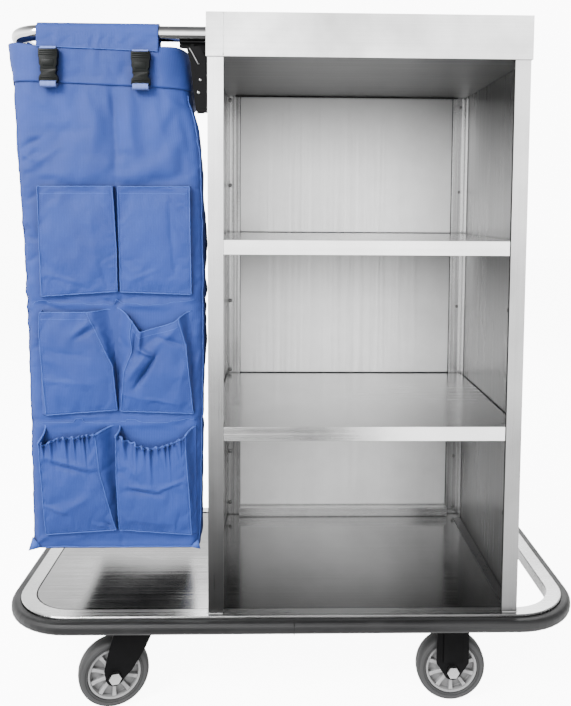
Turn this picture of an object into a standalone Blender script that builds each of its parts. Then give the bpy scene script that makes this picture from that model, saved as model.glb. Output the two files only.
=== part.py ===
# Housekeeping cart with a hanging laundry bag.
# Metres, +Z up, front towards -Y, bag end towards -X. The wheels stand on Z = 0.
import bpy, bmesh, math
from mathutils import Vector, Matrix

for _o in list(bpy.data.objects):
    bpy.data.objects.remove(_o, do_unlink=True)

# ---------------------------------------------------------------- dimensions
GAP = 0.0003

# base frame
FRAME_L = 1.010            # outside length of the frame tube
FRAME_D = 0.488            # outside depth of the frame tube
FRAME_R = 0.109            # plan radius of the outer corners
TUBE_W, TUBE_H, TUBE_T = 0.027, 0.024, 0.0018
FRAME_TOP = 0.180
FRAME_BOT = FRAME_TOP - TUBE_H
BUMP_T = 0.0175            # bumper thickness
BUMP_Z0, BUMP_Z1 = 0.1535, 0.1755
DECK_TOP, DECK_T = 0.1785, 0.0012

# casters
WHEEL_R, WHEEL_W = 0.0625, 0.032
CASTER_Y = 0.197
SWIVEL_X, FIXED_X = -0.288, 0.287
TRAIL = 0.037
SWIVEL_REST = {"front": 17.0, "rear": -7.0}     # degrees the forks are turned at rest
AXLE_R, AXLE_HOLE_R = 0.006, 0.0062
PLATE_TOP = FRAME_BOT - GAP

# cabinet
CAB_X0, CAB_X1 = -0.1511, 0.3959
CAB_Y0, CAB_Y1 = -0.2348, 0.2108
POST = 0.0267
SHEET = 0.0015
CAB_Z0 = FRAME_TOP + GAP
CAB_Z1 = 1.1462
SHELF_TOPS = {"shelf_upper": 0.8385, "shelf_lower": 0.5142}
SHELF_LIP = 0.0245
TRAY_Z0, TRAY_Z1 = 1.1465, 1.2195
TRAY_SEAM_X = -0.1242

# bag support
HOOP_R, HOOP_T = 0.013, 0.0015
HOOP_Z = 1.1846
HOOP_Y0, HOOP_Y1 = -0.222, 0.198
HOOP_X0, HOOP_X1 = -0.483, -0.1538
HOOP_BEND = 0.060

# bag: section heights with (x0, x1, y0, y1, corner radius)
BAG_SECTIONS = [
    (1.1600, -0.4925, -0.1875, -0.2360, 0.2120, 0.055),
    (1.1200, -0.4790, -0.1840, -0.2365, 0.2125, 0.045),
    (1.0500, -0.4680, -0.1780, -0.2385, 0.2130, 0.035),
    (0.9600, -0.4640, -0.1620, -0.2410, 0.2140, 0.028),
    (0.8200, -0.4570, -0.1570, -0.2425, 0.2150, 0.024),
    (0.6700, -0.4530, -0.1560, -0.2435, 0.2150, 0.022),
    (0.3400, -0.4500, -0.1610, -0.2435, 0.2150, 0.022),
    (0.3020, -0.4540, -0.1660, -0.2400, 0.2120, 0.018),
]
BAG_WALL = 0.003
FLAP_X0, FLAP_X1 = -0.4340, -0.2328
FLAP_Z = 1.1570
FLAP_T = 0.0025
BUCKLES = {"left": (-0.4113, 1.1530), "right": (-0.2598, 1.1500)}    # x centre, top
BUCKLE_Y = -0.2475
POCKET_BACK = -0.2440
POCKETS = {        # x0, x1, z0, z1, depth
    "pocket_r1_left": (-0.4330, -0.3062, 0.7440, 0.9280, 0.0100),
    "pocket_r1_right": (-0.3018, -0.1785, 0.7470, 0.9280, 0.0100),
    "pocket_r2_left": (-0.4310, -0.3070, 0.5410, 0.7160, 0.0150),
    "pocket_r2_right": (-0.3018, -0.1780, 0.5420, 0.7120, 0.0150),
    "pocket_r3_left": (-0.4310, -0.3078, 0.3310, 0.5080, 0.0170),
    "pocket_r3_right": (-0.3040, -0.1785, 0.3310, 0.5080, 0.0170),
}
POCKET_WALL = 0.002

# ---------------------------------------------------------------- materials
def material(name, rgb, metallic=0.0, rough=0.5):
    m = bpy.data.materials.new(name)
    m.use_nodes = True
    b = m.node_tree.nodes["Principled BSDF"]
    b.inputs["Base Color"].default_value = (rgb[0], rgb[1], rgb[2], 1.0)
    b.inputs["Metallic"].default_value = metallic
    b.inputs["Roughness"].default_value = rough
    return m

LOOKS = {
    "steel": ((0.62, 0.62, 0.62), 1.0, 0.32),
    "polished": ((0.75, 0.75, 0.75), 1.0, 0.12),
    "black_paint": ((0.02, 0.02, 0.02), 0.0, 0.45),
    "bumper": ((0.03, 0.03, 0.03), 0.0, 0.6),
    "fabric": ((0.12, 0.20, 0.50), 0.0, 0.85),
    "webbing": ((0.22, 0.30, 0.58), 0.0, 0.85),
    "buckle": ((0.03, 0.035, 0.03), 0.0, 0.4),
    "rim": ((0.40, 0.40, 0.41), 0.0, 0.5),
    "tyre": ((0.20, 0.20, 0.21), 0.0, 0.7),
    "zinc": ((0.70, 0.70, 0.70), 1.0, 0.25),
}

# ---------------------------------------------------------------- helpers
def mesh_object(name, verts, faces, look, smooth=False):
    me = bpy.data.meshes.new(name)
    me.from_pydata([tuple(v) for v in verts], [], faces)
    bm = bmesh.new()
    bm.from_mesh(me)
    bmesh.ops.recalc_face_normals(bm, faces=bm.faces)
    bm.to_mesh(me)
    bm.free()
    for p in me.polygons:
        p.use_smooth = smooth
    ob = bpy.data.objects.new(name, me)
    bpy.context.scene.collection.objects.link(ob)
    if look:
        me.materials.append(material(name, *LOOKS[look]))
    return ob

def axes_point(axis, u, v, w):
    # (u, v) in the plane, w along the axis; planes are YZ, XZ, XY
    if axis == "X":
        return (w, u, v)
    if axis == "Y":
        return (u, w, v)
    return (u, v, w)

def prism(name, pts, axis, lo, hi, look=None, smooth=False):
    n = len(pts)
    verts = [axes_point(axis, u, v, lo) for u, v in pts] + [axes_point(axis, u, v, hi) for u, v in pts]
    faces = [tuple(range(n)), tuple(range(n, 2 * n))]
    faces += [(i, (i + 1) % n, n + (i + 1) % n, n + i) for i in range(n)]
    return mesh_object(name, verts, faces, look, smooth)

def box(name, x0, x1, y0, y1, z0, z1, look=None):
    return prism(name, [(x0, y0), (x1, y0), (x1, y1), (x0, y1)], "Z", z0, z1, look)

def ring_prism(name, outer, inner, axis, lo, hi, look=None):
    # an annular section pulled along an axis; both outlines have the same number of points
    n = len(outer)
    verts = []
    for pts, w in ((outer, lo), (outer, hi), (inner, lo), (inner, hi)):
        verts += [axes_point(axis, u, v, w) for u, v in pts]
    faces = []
    for i in range(n):
        j = (i + 1) % n
        faces.append((i, j, n + j, n + i))
        faces.append((2 * n + i, 2 * n + j, 3 * n + j, 3 * n + i))
        faces.append((i, j, 2 * n + j, 2 * n + i))
        faces.append((n + i, n + j, 3 * n + j, 3 * n + i))
    return mesh_object(name, verts, faces, look)

def circle(cu, cv, r, n, start=0.0):
    return [(cu + r * math.cos(start + 2 * math.pi * i / n), cv + r * math.sin(start + 2 * math.pi * i / n)) for i in range(n)]

def cylinder(name, axis, cu, cv, r, lo, hi, n=32, look=None):
    return prism(name, circle(cu, cv, r, n), axis, lo, hi, look, True)

def lathe(name, profile, n, look, centre=(0, 0, 0), axis="Y"):
    # profile: closed loop of (radius, along), turned about the axis
    m = len(profile)
    verts, faces = [], []
    for i in range(n):
        a = 2 * math.pi * i / n
        for r, w in profile:
            u, v = r * math.cos(a), r * math.sin(a)
            p = axes_point(axis, u, v, w)
            verts.append((p[0] + centre[0], p[1] + centre[1], p[2] + centre[2]))
    for i in range(n):
        for k in range(m):
            a, b = i * m + k, i * m + (k + 1) % m
            c, d = ((i + 1) % n) * m + (k + 1) % m, ((i + 1) % n) * m + k
            faces.append((a, b, c, d))
    return mesh_object(name, verts, faces, look, True)

def boolean(ob, tools, operation):
    for t in tools:
        t.hide_render = True
        t.display_type = "WIRE"
        md = ob.modifiers.new("cut", "BOOLEAN")
        md.operation = operation
        md.solver = "EXACT"
        md.object = t
    bpy.context.view_layer.update()
    dg = bpy.context.evaluated_depsgraph_get()
    me = bpy.data.meshes.new_from_object(ob.evaluated_get(dg))
    old = ob.data
    mats = list(old.materials)
    ob.modifiers.clear()
    ob.data = me
    me.materials.clear()
    for mt in mats:
        me.materials.append(mt)
    for p in me.polygons:
        p.material_index = 0
    for t in tools:
        bpy.data.objects.remove(t, do_unlink=True)
    return ob

def smooth_by_angle(ob, degrees=35.0):
    me = ob.data
    bm = bmesh.new()
    bm.from_mesh(me)
    lim = math.radians(degrees)
    for f in bm.faces:
        f.smooth = True
    for e in bm.edges:
        if len(e.link_faces) == 2:
            e.smooth = e.calc_face_angle(0.0) < lim
    bm.to_mesh(me)
    bm.free()
    return ob

def plan_path(half_l, half_d, r, seg=12):
    # rounded rectangle, as points with outward normals, anticlockwise from the front-right corner's start
    out = []
    for sx, sy, a0 in ((1, -1, -90), (1, 1, 0), (-1, 1, 90), (-1, -1, 180)):
        cx, cy = sx * (half_l - r), sy * (half_d - r)
        for k in range(seg + 1):
            a = math.radians(a0 + 90.0 * k / seg)
            out.append(((cx + r * math.cos(a), cy + r * math.sin(a)), (math.cos(a), math.sin(a))))
    return out

# ---------------------------------------------------------------- base frame
def build_frame_tube():
    path = plan_path(FRAME_L / 2, FRAME_D / 2, FRAME_R)
    c = 0.0015
    w, z0, z1, t = TUBE_W, FRAME_BOT, FRAME_TOP, TUBE_T
    outer = [(-c, z0), (0, z0 + c), (0, z1 - c), (-c, z1), (-w + c, z1), (-w, z1 - c), (-w, z0 + c), (-w + c, z0)]
    inner = [(-t, z0 + t), (-t, z1 - t), (-w + t, z1 - t), (-w + t, z0 + t)]
    verts, faces = [], []
    n = len(path)
    for sec in (outer, inner):
        base, m = len(verts), len(sec)
        for (px, py), (nx, ny) in path:
            verts += [(px + nx * u, py + ny * u, z) for u, z in sec]
        for i in range(n):
            for k in range(m):
                a, b = base + i * m + k, base + i * m + (k + 1) % m
                d, e = base + ((i + 1) % n) * m + (k + 1) % m, base + ((i + 1) % n) * m + k
                q = (a, b, d, e)
                faces.append(q if sec is outer else q[::-1])
    me = bpy.data.meshes.new("frame_tube")
    me.from_pydata(verts, [], faces)
    ob = bpy.data.objects.new("frame_tube", me)
    bpy.context.scene.collection.objects.link(ob)
    me.materials.append(material("frame_tube", *LOOKS["steel"]))
    bm = bmesh.new()
    bm.from_mesh(me)
    vol = bm.calc_volume(signed=True)
    if vol < 0:
        bmesh.ops.reverse_faces(bm, faces=bm.faces)
    bm.to_mesh(me)
    bm.free()
    # vent holes in the underside of both ends
    cx = FRAME_L / 2 - TUBE_W / 2
    vents = [cylinder("vent_a", "Z", cx, 0.0, 0.004, FRAME_BOT - 0.005, FRAME_BOT + 0.006, 16),
             cylinder("vent_b", "Z", -cx, 0.0, 0.004, FRAME_BOT - 0.005, FRAME_BOT + 0.006, 16)]
    return smooth_by_angle(boolean(ob, vents, "DIFFERENCE"))

def build_bumper():
    path = plan_path(FRAME_L / 2, FRAME_D / 2, FRAME_R)
    seam = 0.0003
    y = -FRAME_D / 2
    stations = [((seam, y), (0, -1))] + path + [((-seam, y), (0, -1))]
    z0, z1, t = BUMP_Z0, BUMP_Z1, BUMP_T
    r = 0.0085
    sec = [(GAP, z0 + 0.001), (GAP + 0.001, z0)]
    for k in range(6):
        a = math.radians(-90 + 90 * k / 5)
        sec.append((t - r + r * math.cos(a), z0 + r + r * math.sin(a)))
    for k in range(6):
        a = math.radians(90 * k / 5)
        sec.append((t - r + r * math.cos(a), z1 - r + r * math.sin(a)))
    sec += [(GAP + 0.001, z1), (GAP, z1 - 0.001)]
    verts, faces = [], []
    m, n = len(sec), len(stations)
    for (px, py), (nx, ny) in stations:
        verts += [(px + nx * u, py + ny * u, z) for u, z in sec]
    for i in range(n - 1):
        for k in range(m):
            a, b = i * m + k, i * m + (k + 1) % m
            faces.append((a, b, b + m, a + m))
    faces.append(tuple(range(m)))
    faces.append(tuple(range((n - 1) * m, n * m)))
    return smooth_by_angle(mesh_object("frame_bumper", verts, faces, "bumper"))

def build_deck():
    inset = TUBE_W + 0.0008
    hl, hd, r = FRAME_L / 2 - inset, FRAME_D / 2 - inset, FRAME_R - inset
    pts = [(CAB_X1, -hd), (CAB_X1, hd)]
    for sy, a0 in ((1, 90), (-1, 180)):
        cx, cy = -(hl - r), sy * (hd - r)
        for k in range(13):
            a = math.radians(a0 + 90.0 * k / 12)
            pts.append((cx + r * math.cos(a), cy + r * math.sin(a)))
    deck = prism("deck_sheet", pts, "Z", DECK_TOP - DECK_T, DECK_TOP, "steel")
    lip = box("deck_lip", CAB_X1 - DECK_T, CAB_X1, -hd, hd, DECK_TOP - 0.020, DECK_TOP - 0.0004)
    return boolean(deck, [lip], "UNION")

def build_beam(name, x):
    w, t = 0.110, 0.003
    z0, z1 = FRAME_BOT, DECK_TOP - DECK_T - GAP
    hd = FRAME_D / 2 - TUBE_W - GAP
    pts = [(x - w / 2, z0), (x + w / 2, z0), (x + w / 2, z1), (x + w / 2 - t, z1), (x + w / 2 - t, z0 + t),
           (x - w / 2 + t, z0 + t), (x - w / 2 + t, z1), (x - w / 2, z1)]
    return prism(name, pts, "Y", -hd, hd, "steel")

# ---------------------------------------------------------------- casters
def wheel(prefix):
    w = WHEEL_W / 2
    ro = WHEEL_R
    tyre = [(0.0468, -w + 0.0012), (0.0482, -w), (0.0555, -w), (0.0595, -w + 0.0018), (0.0617, -w + 0.0060), (ro, -w + 0.0105),
            (ro, w - 0.0105), (0.0617, w - 0.0060), (0.0595, w - 0.0018), (0.0555, w), (0.0482, w), (0.0468, w - 0.0012)]
    t = lathe(prefix + "_tyre", tyre, 40, "tyre")
    half = [(AXLE_HOLE_R, 0.0190), (0.0150, 0.0190), (0.0165, 0.0165), (0.0180, 0.0060), (0.0408, 0.0035), (0.0425, 0.0120), (0.0430, 0.0140), (0.0465, 0.0140)]
    rim_profile = [(r, -y) for r, y in half] + [(r, y) for r, y in reversed(half)]
    rim = lathe(prefix + "_rim", rim_profile, 40, "rim")
    # spokes on both faces
    verts, faces = [], []
    for k in range(10):
        a = 2 * math.pi * (k + 0.5) / 10
        ca, sa = math.cos(a), math.sin(a)
        b = len(verts)
        for rad, hw, hy in ((0.0140, 0.0034, 0.0125), (0.0440, 0.0034, 0.0100)):
            for sw, sy in ((-1, -1), (1, -1), (1, 1), (-1, 1)):
                verts.append((rad * ca - sw * hw * sa, sy * hy, rad * sa + sw * hw * ca))
        faces += [(b, b + 1, b + 2, b + 3), (b + 4, b + 5, b + 6, b + 7)]
        faces += [(b + i, b + (i + 1) % 4, b + 4 + (i + 1) % 4, b + 4 + i) for i in range(4)]
    spokes = mesh_object("spokes", verts, faces, None)
    boolean(rim, [spokes], "UNION")
    smooth_by_angle(rim, 30)
    smooth_by_angle(t, 40)
    return rim, t

def axle(prefix):
    hexr = 0.0095 / math.cos(math.radians(30))
    y = 0.0238
    a = cylinder(prefix + "_axle", "Y", 0, 0, AXLE_R, -y - 0.004, y + 0.0100, 32, "zinc")
    head = prism("head", circle(0, 0, hexr, 6), "Y", -y - 0.0075, -y)
    nut = prism("nut", circle(0, 0, hexr, 6), "Y", y, y + 0.0080)
    boolean(a, [head, nut], "UNION")
    return smooth_by_angle(a)

def place(obs, x, y, turn):
    # wheel parts are made on the axle; swivel parts about the swivel axis at z = 0
    m = Matrix.Translation((x, y, 0)) @ Matrix.Rotation(math.radians(turn), 4, "Z")
    for ob in obs:
        ob.data.transform(m)

def leg_outline(pts_left, pts_right, r):
    # outline down the left side, round the axle and up the right side
    arc = []
    for k in range(9):
        a = math.radians(200 + 140.0 * k / 8)
        arc.append((r * math.cos(a), r * math.sin(a)))
    return pts_left + arc + pts_right

def swivel_caster(prefix, x, y, turn):
    zc = WHEEL_R
    # mounting plate with the upper race and the kingpin
    plate = box(prefix + "_plate", -0.0475, 0.0475, -0.035, 0.035, PLATE_TOP - 0.0035, PLATE_TOP, "black_paint")
    tools = [cylinder("race", "Z", 0, 0, 0.026, 0.1430, PLATE_TOP - 0.001, 36),
             cylinder("pin", "Z", 0, 0, 0.0059, 0.1350, 0.1445, 24),
             cylinder("pin_head", "Z", 0, 0, 0.0095, 0.1325, 0.1368, 24)]
    for bx in (-0.038, 0.038):
        for by in (-0.026, 0.026):
            tools.append(prism("bolt", circle(bx, by, 0.0065 / math.cos(math.radians(30)), 6), "Z", PLATE_TOP - 0.0085, PLATE_TOP - 0.001))
    boolean(plate, tools, "UNION")
    smooth_by_angle(plate)
    plate.data.transform(Matrix.Translation((x, y, 0)))
    # fork: two raked legs under a crown
    top = 0.1425
    left = [(-0.0010, top - zc), (-0.0040, 0.0700), (-0.0185, 0.0130)]
    right = [(0.0300, 0.0080), (0.0540, 0.0450), (0.0660, 0.0700), (0.0700, top - zc)]
    pts = [(u - TRAIL, v + zc) for u, v in leg_outline(left, right, 0.0165)]
    fork = prism(prefix + "_fork", pts, "Y", -0.0235, -0.0205, "black_paint")
    leg2 = prism("leg2", pts, "Y", 0.0205, 0.0235)
    crown = box("crown", -0.0375, 0.0325, -0.0230, 0.0230, 0.1375, top)
    boolean(fork, [leg2, crown], "UNION")
    boolean(fork, [cylinder("hole", "Z", 0, 0, 0.0063, 0.130, 0.150, 24),
                   cylinder("bore", "Y", -TRAIL, zc, AXLE_HOLE_R, -0.03, 0.03, 32)], "DIFFERENCE")
    smooth_by_angle(fork)
    rim, tyre = wheel(prefix)
    ax = axle(prefix)
    for ob in (rim, tyre, ax):
        ob.data.transform(Matrix.Translation((-TRAIL, 0, zc)))
    place([fork, rim, tyre, ax], x, y, turn)

def fixed_caster(prefix, x, y):
    zc = WHEEL_R
    z1 = PLATE_TOP - 0.0010
    left = [(-0.0290, z1 - zc), (-0.0290, 0.0140)]
    right = [(0.0290, 0.0140), (0.0290, z1 - zc)]
    pts = [(u, v + zc) for u, v in leg_outline(left, right, 0.0170)]
    fork = box(prefix + "_fork", -0.0475, 0.0475, -0.035, 0.035, PLATE_TOP - 0.0035, PLATE_TOP, "black_paint")
    tools = [prism("leg_a", pts, "Y", -0.0235, -0.0205), prism("leg_b", pts, "Y", 0.0205, 0.0235),
             box("rib_a", -0.0165, 0.0165, -0.0262, -0.0220, zc + 0.0170, z1),
             box("rib_b", -0.0165, 0.0165, 0.0220, 0.0262, zc + 0.0170, z1)]
    for bx in (-0.038, 0.038):
        for by in (-0.026, 0.026):
            tools.append(prism("bolt", circle(bx, by, 0.0065 / math.cos(math.radians(30)), 6), "Z", PLATE_TOP - 0.0085, PLATE_TOP - 0.001))
    boolean(fork, tools, "UNION")
    boolean(fork, [cylinder("bore", "Y", 0, zc, AXLE_HOLE_R, -0.03, 0.03, 32)], "DIFFERENCE")
    smooth_by_angle(fork)
    rim, tyre = wheel(prefix)
    ax = axle(prefix)
    for ob in (rim, tyre, ax):
        ob.data.transform(Matrix.Translation((0, 0, zc)))
    place([fork, rim, tyre, ax], x, y, 0.0)

# ---------------------------------------------------------------- cabinet
def build_post(name, xo, s):
    # folded channel: web on the outside of the cabinet, front flange, short hem; s points inwards
    y0, y1, t, hem = CAB_Y0, CAB_Y0 + POST, SHEET, 0.005
    pts = [(0, y0), (POST, y0), (POST, y0 + hem), (POST - t, y0 + hem), (POST - t, y0 + t), (t, y0 + t), (t, y1), (0, y1)]
    return prism(name, [(xo + s * u, v) for u, v in pts], "Z", CAB_Z0, CAB_Z1, "steel")

def build_cabinet():
    build_post("post_front_left", CAB_X0, 1)
    build_post("post_front_right", CAB_X1, -1)
    z0 = DECK_TOP + GAP
    ys = CAB_Y0 + POST + GAP
    box("side_panel_left", CAB_X0, CAB_X0 + SHEET, ys, CAB_Y1, z0, CAB_Z1, "steel")
    # right side sheet with a foot flange turned in along the deck
    foot, t = 0.018, SHEET
    pr = box("side_panel_right", CAB_X1 - t, CAB_X1, ys, CAB_Y1, z0, CAB_Z1, "steel")
    flange = box("foot", CAB_X1 - t - foot, CAB_X1 - 0.0005, ys, 0.1815, z0, z0 + t)
    boolean(pr, [flange], "UNION")
    yb = CAB_Y1 - t
    xi0, xi1 = CAB_X0 + t + GAP, CAB_X1 - t - GAP
    box("back_panel", xi0, xi1, yb, CAB_Y1, z0, CAB_Z1, "steel")
    a, b, k = 0.030, 0.027, 0.0018
    ye = yb - GAP
    prism("post_rear_left", [(xi0, ye), (xi0, ye - b), (xi0 + k, ye - b), (xi0 + k, ye - k), (xi0 + a, ye - k), (xi0 + a, ye)], "Z", z0, CAB_Z1, "steel")
    prism("post_rear_right", [(xi1, ye), (xi1, ye - b), (xi1 - k, ye - b), (xi1 - k, ye - k), (xi1 - a, ye - k), (xi1 - a, ye)], "Z", z0, CAB_Z1, "steel")
    # low rail along the back edge of the deck
    h, d = 0.0212, 0.018
    xs0, xs1 = xi0 + a + GAP, xi1 - a - GAP
    prism("back_sill", [(ye, z0 + h), (ye - d, z0 + h), (ye - d, z0), (ye - d + t, z0), (ye - d + t, z0 + h - t), (ye, z0 + h - t)], "X", xs0, xs1, "steel")
    # shelves: folded pans, notched round the front posts
    for name, top in SHELF_TOPS.items():
        fx0, fx1 = CAB_X0 + POST + GAP, CAB_X1 - POST - GAP
        sx0, sx1 = xi0 + k + GAP, xi1 - k - GAP
        y0, y1 = CAB_Y0 + 0.001, ye - k - GAP
        yn = CAB_Y0 + POST + GAP
        plate = prism(name, [(fx0, y0), (fx1, y0), (fx1, yn), (sx1, yn), (sx1, y1), (sx0, y1), (sx0, yn), (fx0, yn)], "Z", top - t, top, "steel")
        e = 0.0004
        lips = [box("lip_f", fx0, fx1, y0, y0 + t, top - SHELF_LIP, top - e),
                box("lip_ff", fx0, fx1, y0 + 0.0003, y0 + 0.012, top - SHELF_LIP, top - SHELF_LIP + t),
                box("lip_b", sx0, sx1, y1 - t, y1, top - 0.018, top - e),
                box("lip_l", sx0, sx0 + t, yn, y1 - 0.0003, top - 0.018, top - e),
                box("lip_r", sx1 - t, sx1, yn, y1 - 0.0003, top - 0.018, top - e)]
        boolean(plate, lips, "UNION")
    # amenity tray
    o = 0.0020
    tx1, ty0, ty1 = CAB_X1 + 0.0026, CAB_Y0 - o, CAB_Y1 + o
    lx0 = CAB_X0 - 0.0024
    tray = box("top_tray", lx0 + t + GAP, tx1, ty0, ty1, TRAY_Z0, TRAY_Z0 + t, "steel")
    e = 0.0004
    walls = [box("apron", TRAY_SEAM_X, tx1, ty0, ty0 + t, TRAY_Z0 + e, TRAY_Z1),
             box("rear", TRAY_SEAM_X, tx1, ty1 - t, ty1, TRAY_Z0 + e, TRAY_Z1),
             box("right", tx1 - t, tx1, ty0 + e, ty1 - e, TRAY_Z0 + e, TRAY_Z1)]
    boolean(tray, walls, "UNION")
    notch = [box("notch_f", lx0 - 0.01, TRAY_SEAM_X - 0.00005, ty0 - 0.01, ty0 + t + GAP, TRAY_Z0 - 0.01, TRAY_Z0 + 0.01),
             box("notch_b", lx0 - 0.01, TRAY_SEAM_X - 0.00005, ty1 - t - GAP, ty1 + 0.01, TRAY_Z0 - 0.01, TRAY_Z0 + 0.01)]
    boolean(tray, notch, "DIFFERENCE")
    sx = TRAY_SEAM_X - GAP
    prism("tray_end_left", [(lx0, ty0), (sx, ty0), (sx, ty0 + t), (lx0 + t, ty0 + t), (lx0 + t, ty1 - t), (sx, ty1 - t), (sx, ty1), (lx0, ty1)],
          "Z", TRAY_Z0, TRAY_Z1, "steel")

# ---------------------------------------------------------------- bag support
def build_hoop():
    path = [((HOOP_X1, HOOP_Y0), (0, -1))]
    r = HOOP_BEND
    for sy, cy, a0 in ((-1, HOOP_Y0 + r, 270), (1, HOOP_Y1 - r, 180)):
        for k in range(10):
            a = math.radians(a0 - 90.0 * k / 9)
            path.append(((HOOP_X0 + r + r * math.cos(a), cy + r * math.sin(a)), (math.cos(a), math.sin(a))))
    path.append(((HOOP_X1, HOOP_Y1), (0, 1)))
    n, m = len(path), 20
    verts = []
    for rad in (HOOP_R, HOOP_R - HOOP_T):
        for (px, py), (nx, ny) in path:
            for k in range(m):
                a = 2 * math.pi * k / m
                verts.append((px + nx * rad * math.cos(a), py + ny * rad * math.cos(a), HOOP_Z + rad * math.sin(a)))
    faces = []
    o = n * m
    for s in (0, o):
        for i in range(n - 1):
            for k in range(m):
                a, b = s + i * m + k, s + i * m + (k + 1) % m
                faces.append((a, b, b + m, a + m))
    for i in (0, n - 1):
        for k in range(m):
            a, b = i * m + k, i * m + (k + 1) % m
            faces.append((a, b, b + o, a + o))
    return smooth_by_angle(mesh_object("bag_hoop", verts, faces, "polished"))

def build_bracket(side, yc, face):
    # face is the side, -1 or +1 along Y, that carries the brace
    x_wall = CAB_X0 - 0.0004
    w = 0.012
    leaf = box("bracket_leaf_" + side, x_wall - 0.003, x_wall, yc - w, yc + w, 1.0550, 1.1458, "black_paint")
    cheeks = [box("cheek_a", x_wall - 0.0120, x_wall - 0.0005, yc - w, yc - w + 0.002, 1.0552, 1.1456),
              box("cheek_b", x_wall - 0.0120, x_wall - 0.0005, yc + w - 0.002, yc + w, 1.0552, 1.1456),
              box("ear", x_wall - 0.0230, x_wall - 0.0005, yc - 0.003, yc + 0.003, 1.1050, 1.1400)]
    boolean(leaf, cheeks, "UNION")
    low, high = (-0.1670, 1.1225), (-0.1770, 1.1655)
    pin_r, hole_r = 0.0028, 0.0031
    boolean(leaf, [cylinder("hole", "Y", low[0], low[1], hole_r, yc - 0.02, yc + 0.02, 20)], "DIFFERENCE")
    # cut back the cheek on the brace's side, so the brace can lie against the ear
    cy0, cy1 = (yc - 0.02, yc - 0.0031) if face < 0 else (yc + 0.0031, yc + 0.02)
    boolean(leaf, [box("relief", x_wall - 0.03, x_wall - 0.0035, cy0, cy1, 1.1080, 1.16)], "DIFFERENCE")
    arm_z1 = HOOP_Z - HOOP_R - GAP
    arm = prism("bracket_arm_" + side, [(-0.1985, arm_z1), (-0.1541, arm_z1), (-0.1541, 1.1470), (-0.1590, 1.1470), (-0.1640, 1.1590), (-0.1985, 1.1618)],
                "Y", yc - 0.003, yc + 0.003, "black_paint")
    pad = box("pad", -0.1985, -0.1541, yc - 0.010, yc + 0.010, arm_z1 - 0.002, arm_z1)
    boolean(arm, [pad], "UNION")
    boolean(arm, [cylinder("hole", "Y", high[0], high[1], hole_r, yc - 0.02, yc + 0.02, 20)], "DIFFERENCE")
    # brace: flat bar with a pin at each end
    ya, yb = (yc - 0.0055, yc - 0.0034) if face < 0 else (yc + 0.0034, yc + 0.0055)
    dx, dz = high[0] - low[0], high[1] - low[1]
    ln = math.hypot(dx, dz)
    dx, dz = dx / ln, dz / ln
    nx, nz = -dz, dx
    h = 0.0036
    top = (high[0] + 0.0 * dx, high[1] + 0.0)
    pts = [(low[0] + nx * h - dx * h, low[1] + nz * h - dz * h), (low[0] - nx * h - dx * h, low[1] - nz * h - dz * h),
           (top[0] - nx * h + dx * 0.003, top[1] - nz * h + dz * 0.003), (top[0] + nx * h + dx * 0.003, top[1] + nz * h + dz * 0.003)]
    brace = prism("bracket_brace_" + side, pts, "Y", ya, yb, "black_paint")
    p0, p1 = (yc - 0.0070, yc + 0.0045) if face < 0 else (yc - 0.0045, yc + 0.0070)
    boolean(brace, [cylinder("pin_a", "Y", low[0], low[1], pin_r, p0, p1, 20), cylinder("pin_b", "Y", high[0], high[1], pin_r, p0, p1, 20)], "UNION")
    for ob in (leaf, arm, brace):
        smooth_by_angle(ob)

# ---------------------------------------------------------------- bag
def rounded(x0, x1, y0, y1, r, seg=5):
    out = []
    for cx, cy, a0 in ((x1 - r, y0 + r, -90), (x1 - r, y1 - r, 0), (x0 + r, y1 - r, 90), (x0 + r, y0 + r, 180)):
        for k in range(seg + 1):
            a = math.radians(a0 + 90.0 * k / seg)
            out.append((cx + r * math.cos(a), cy + r * math.sin(a)))
    return out

def build_bag():
    t = BAG_WALL
    rings = []
    for z, x0, x1, y0, y1, r in BAG_SECTIONS:
        rings.append([(x, y, z) for x, y in rounded(x0, x1, y0, y1, r)])
    inner = []
    for z, x0, x1, y0, y1, r in BAG_SECTIONS:
        zz = z if z > BAG_SECTIONS[-1][0] else z + t
        inner.append([(x, y, zz) for x, y in rounded(x0 + t, x1 - t, y0 + t, y1 - t, r - t)])
    m = len(rings[0])
    loop = list(reversed(rings)) + inner
    verts = [p for ring in loop for p in ring]
    faces = []
    for i in range(len(loop) - 1):
        for k in range(m):
            a, b = i * m + k, i * m + (k + 1) % m
            faces.append((a, b, b + m, a + m))
    faces.append(tuple(range(m)))
    faces.append(tuple(range((len(loop) - 1) * m, len(loop) * m)))
    return smooth_by_angle(mesh_object("bag_body", verts, faces, "fabric"))

def build_flap(name, yc, mirror):
    # strip of cloth: up from the bag's top edge, round the back of the rail, over it and down the front
    ri = HOOP_R + 0.0022
    ro = ri + FLAP_T
    def loop(r, first, last_z):
        pts = [first]
        for k in range(15):
            a = math.radians(232 + (540 - 232) * k / 14.0)
            pts.append((-r * -math.cos(a), r * math.sin(a) + HOOP_Z))
        pts.append((-r, last_z))
        return pts
    wall = BAG_SECTIONS[0][3] - HOOP_Y0                  # bag front relative to the rail
    z_low = BAG_SECTIONS[0][0] + GAP
    outer = loop(ro, (wall + 0.0006, z_low), FLAP_Z)
    inner = loop(ri, (wall + 0.0006 + FLAP_T, z_low), FLAP_Z)
    sec = outer + inner[::-1]
    s = -1.0 if mirror else 1.0
    pts = [(yc + s * u, v) for u, v in sec]
    return smooth_by_angle(prism(name, pts, "X", FLAP_X0, FLAP_X1, "fabric"))

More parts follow.
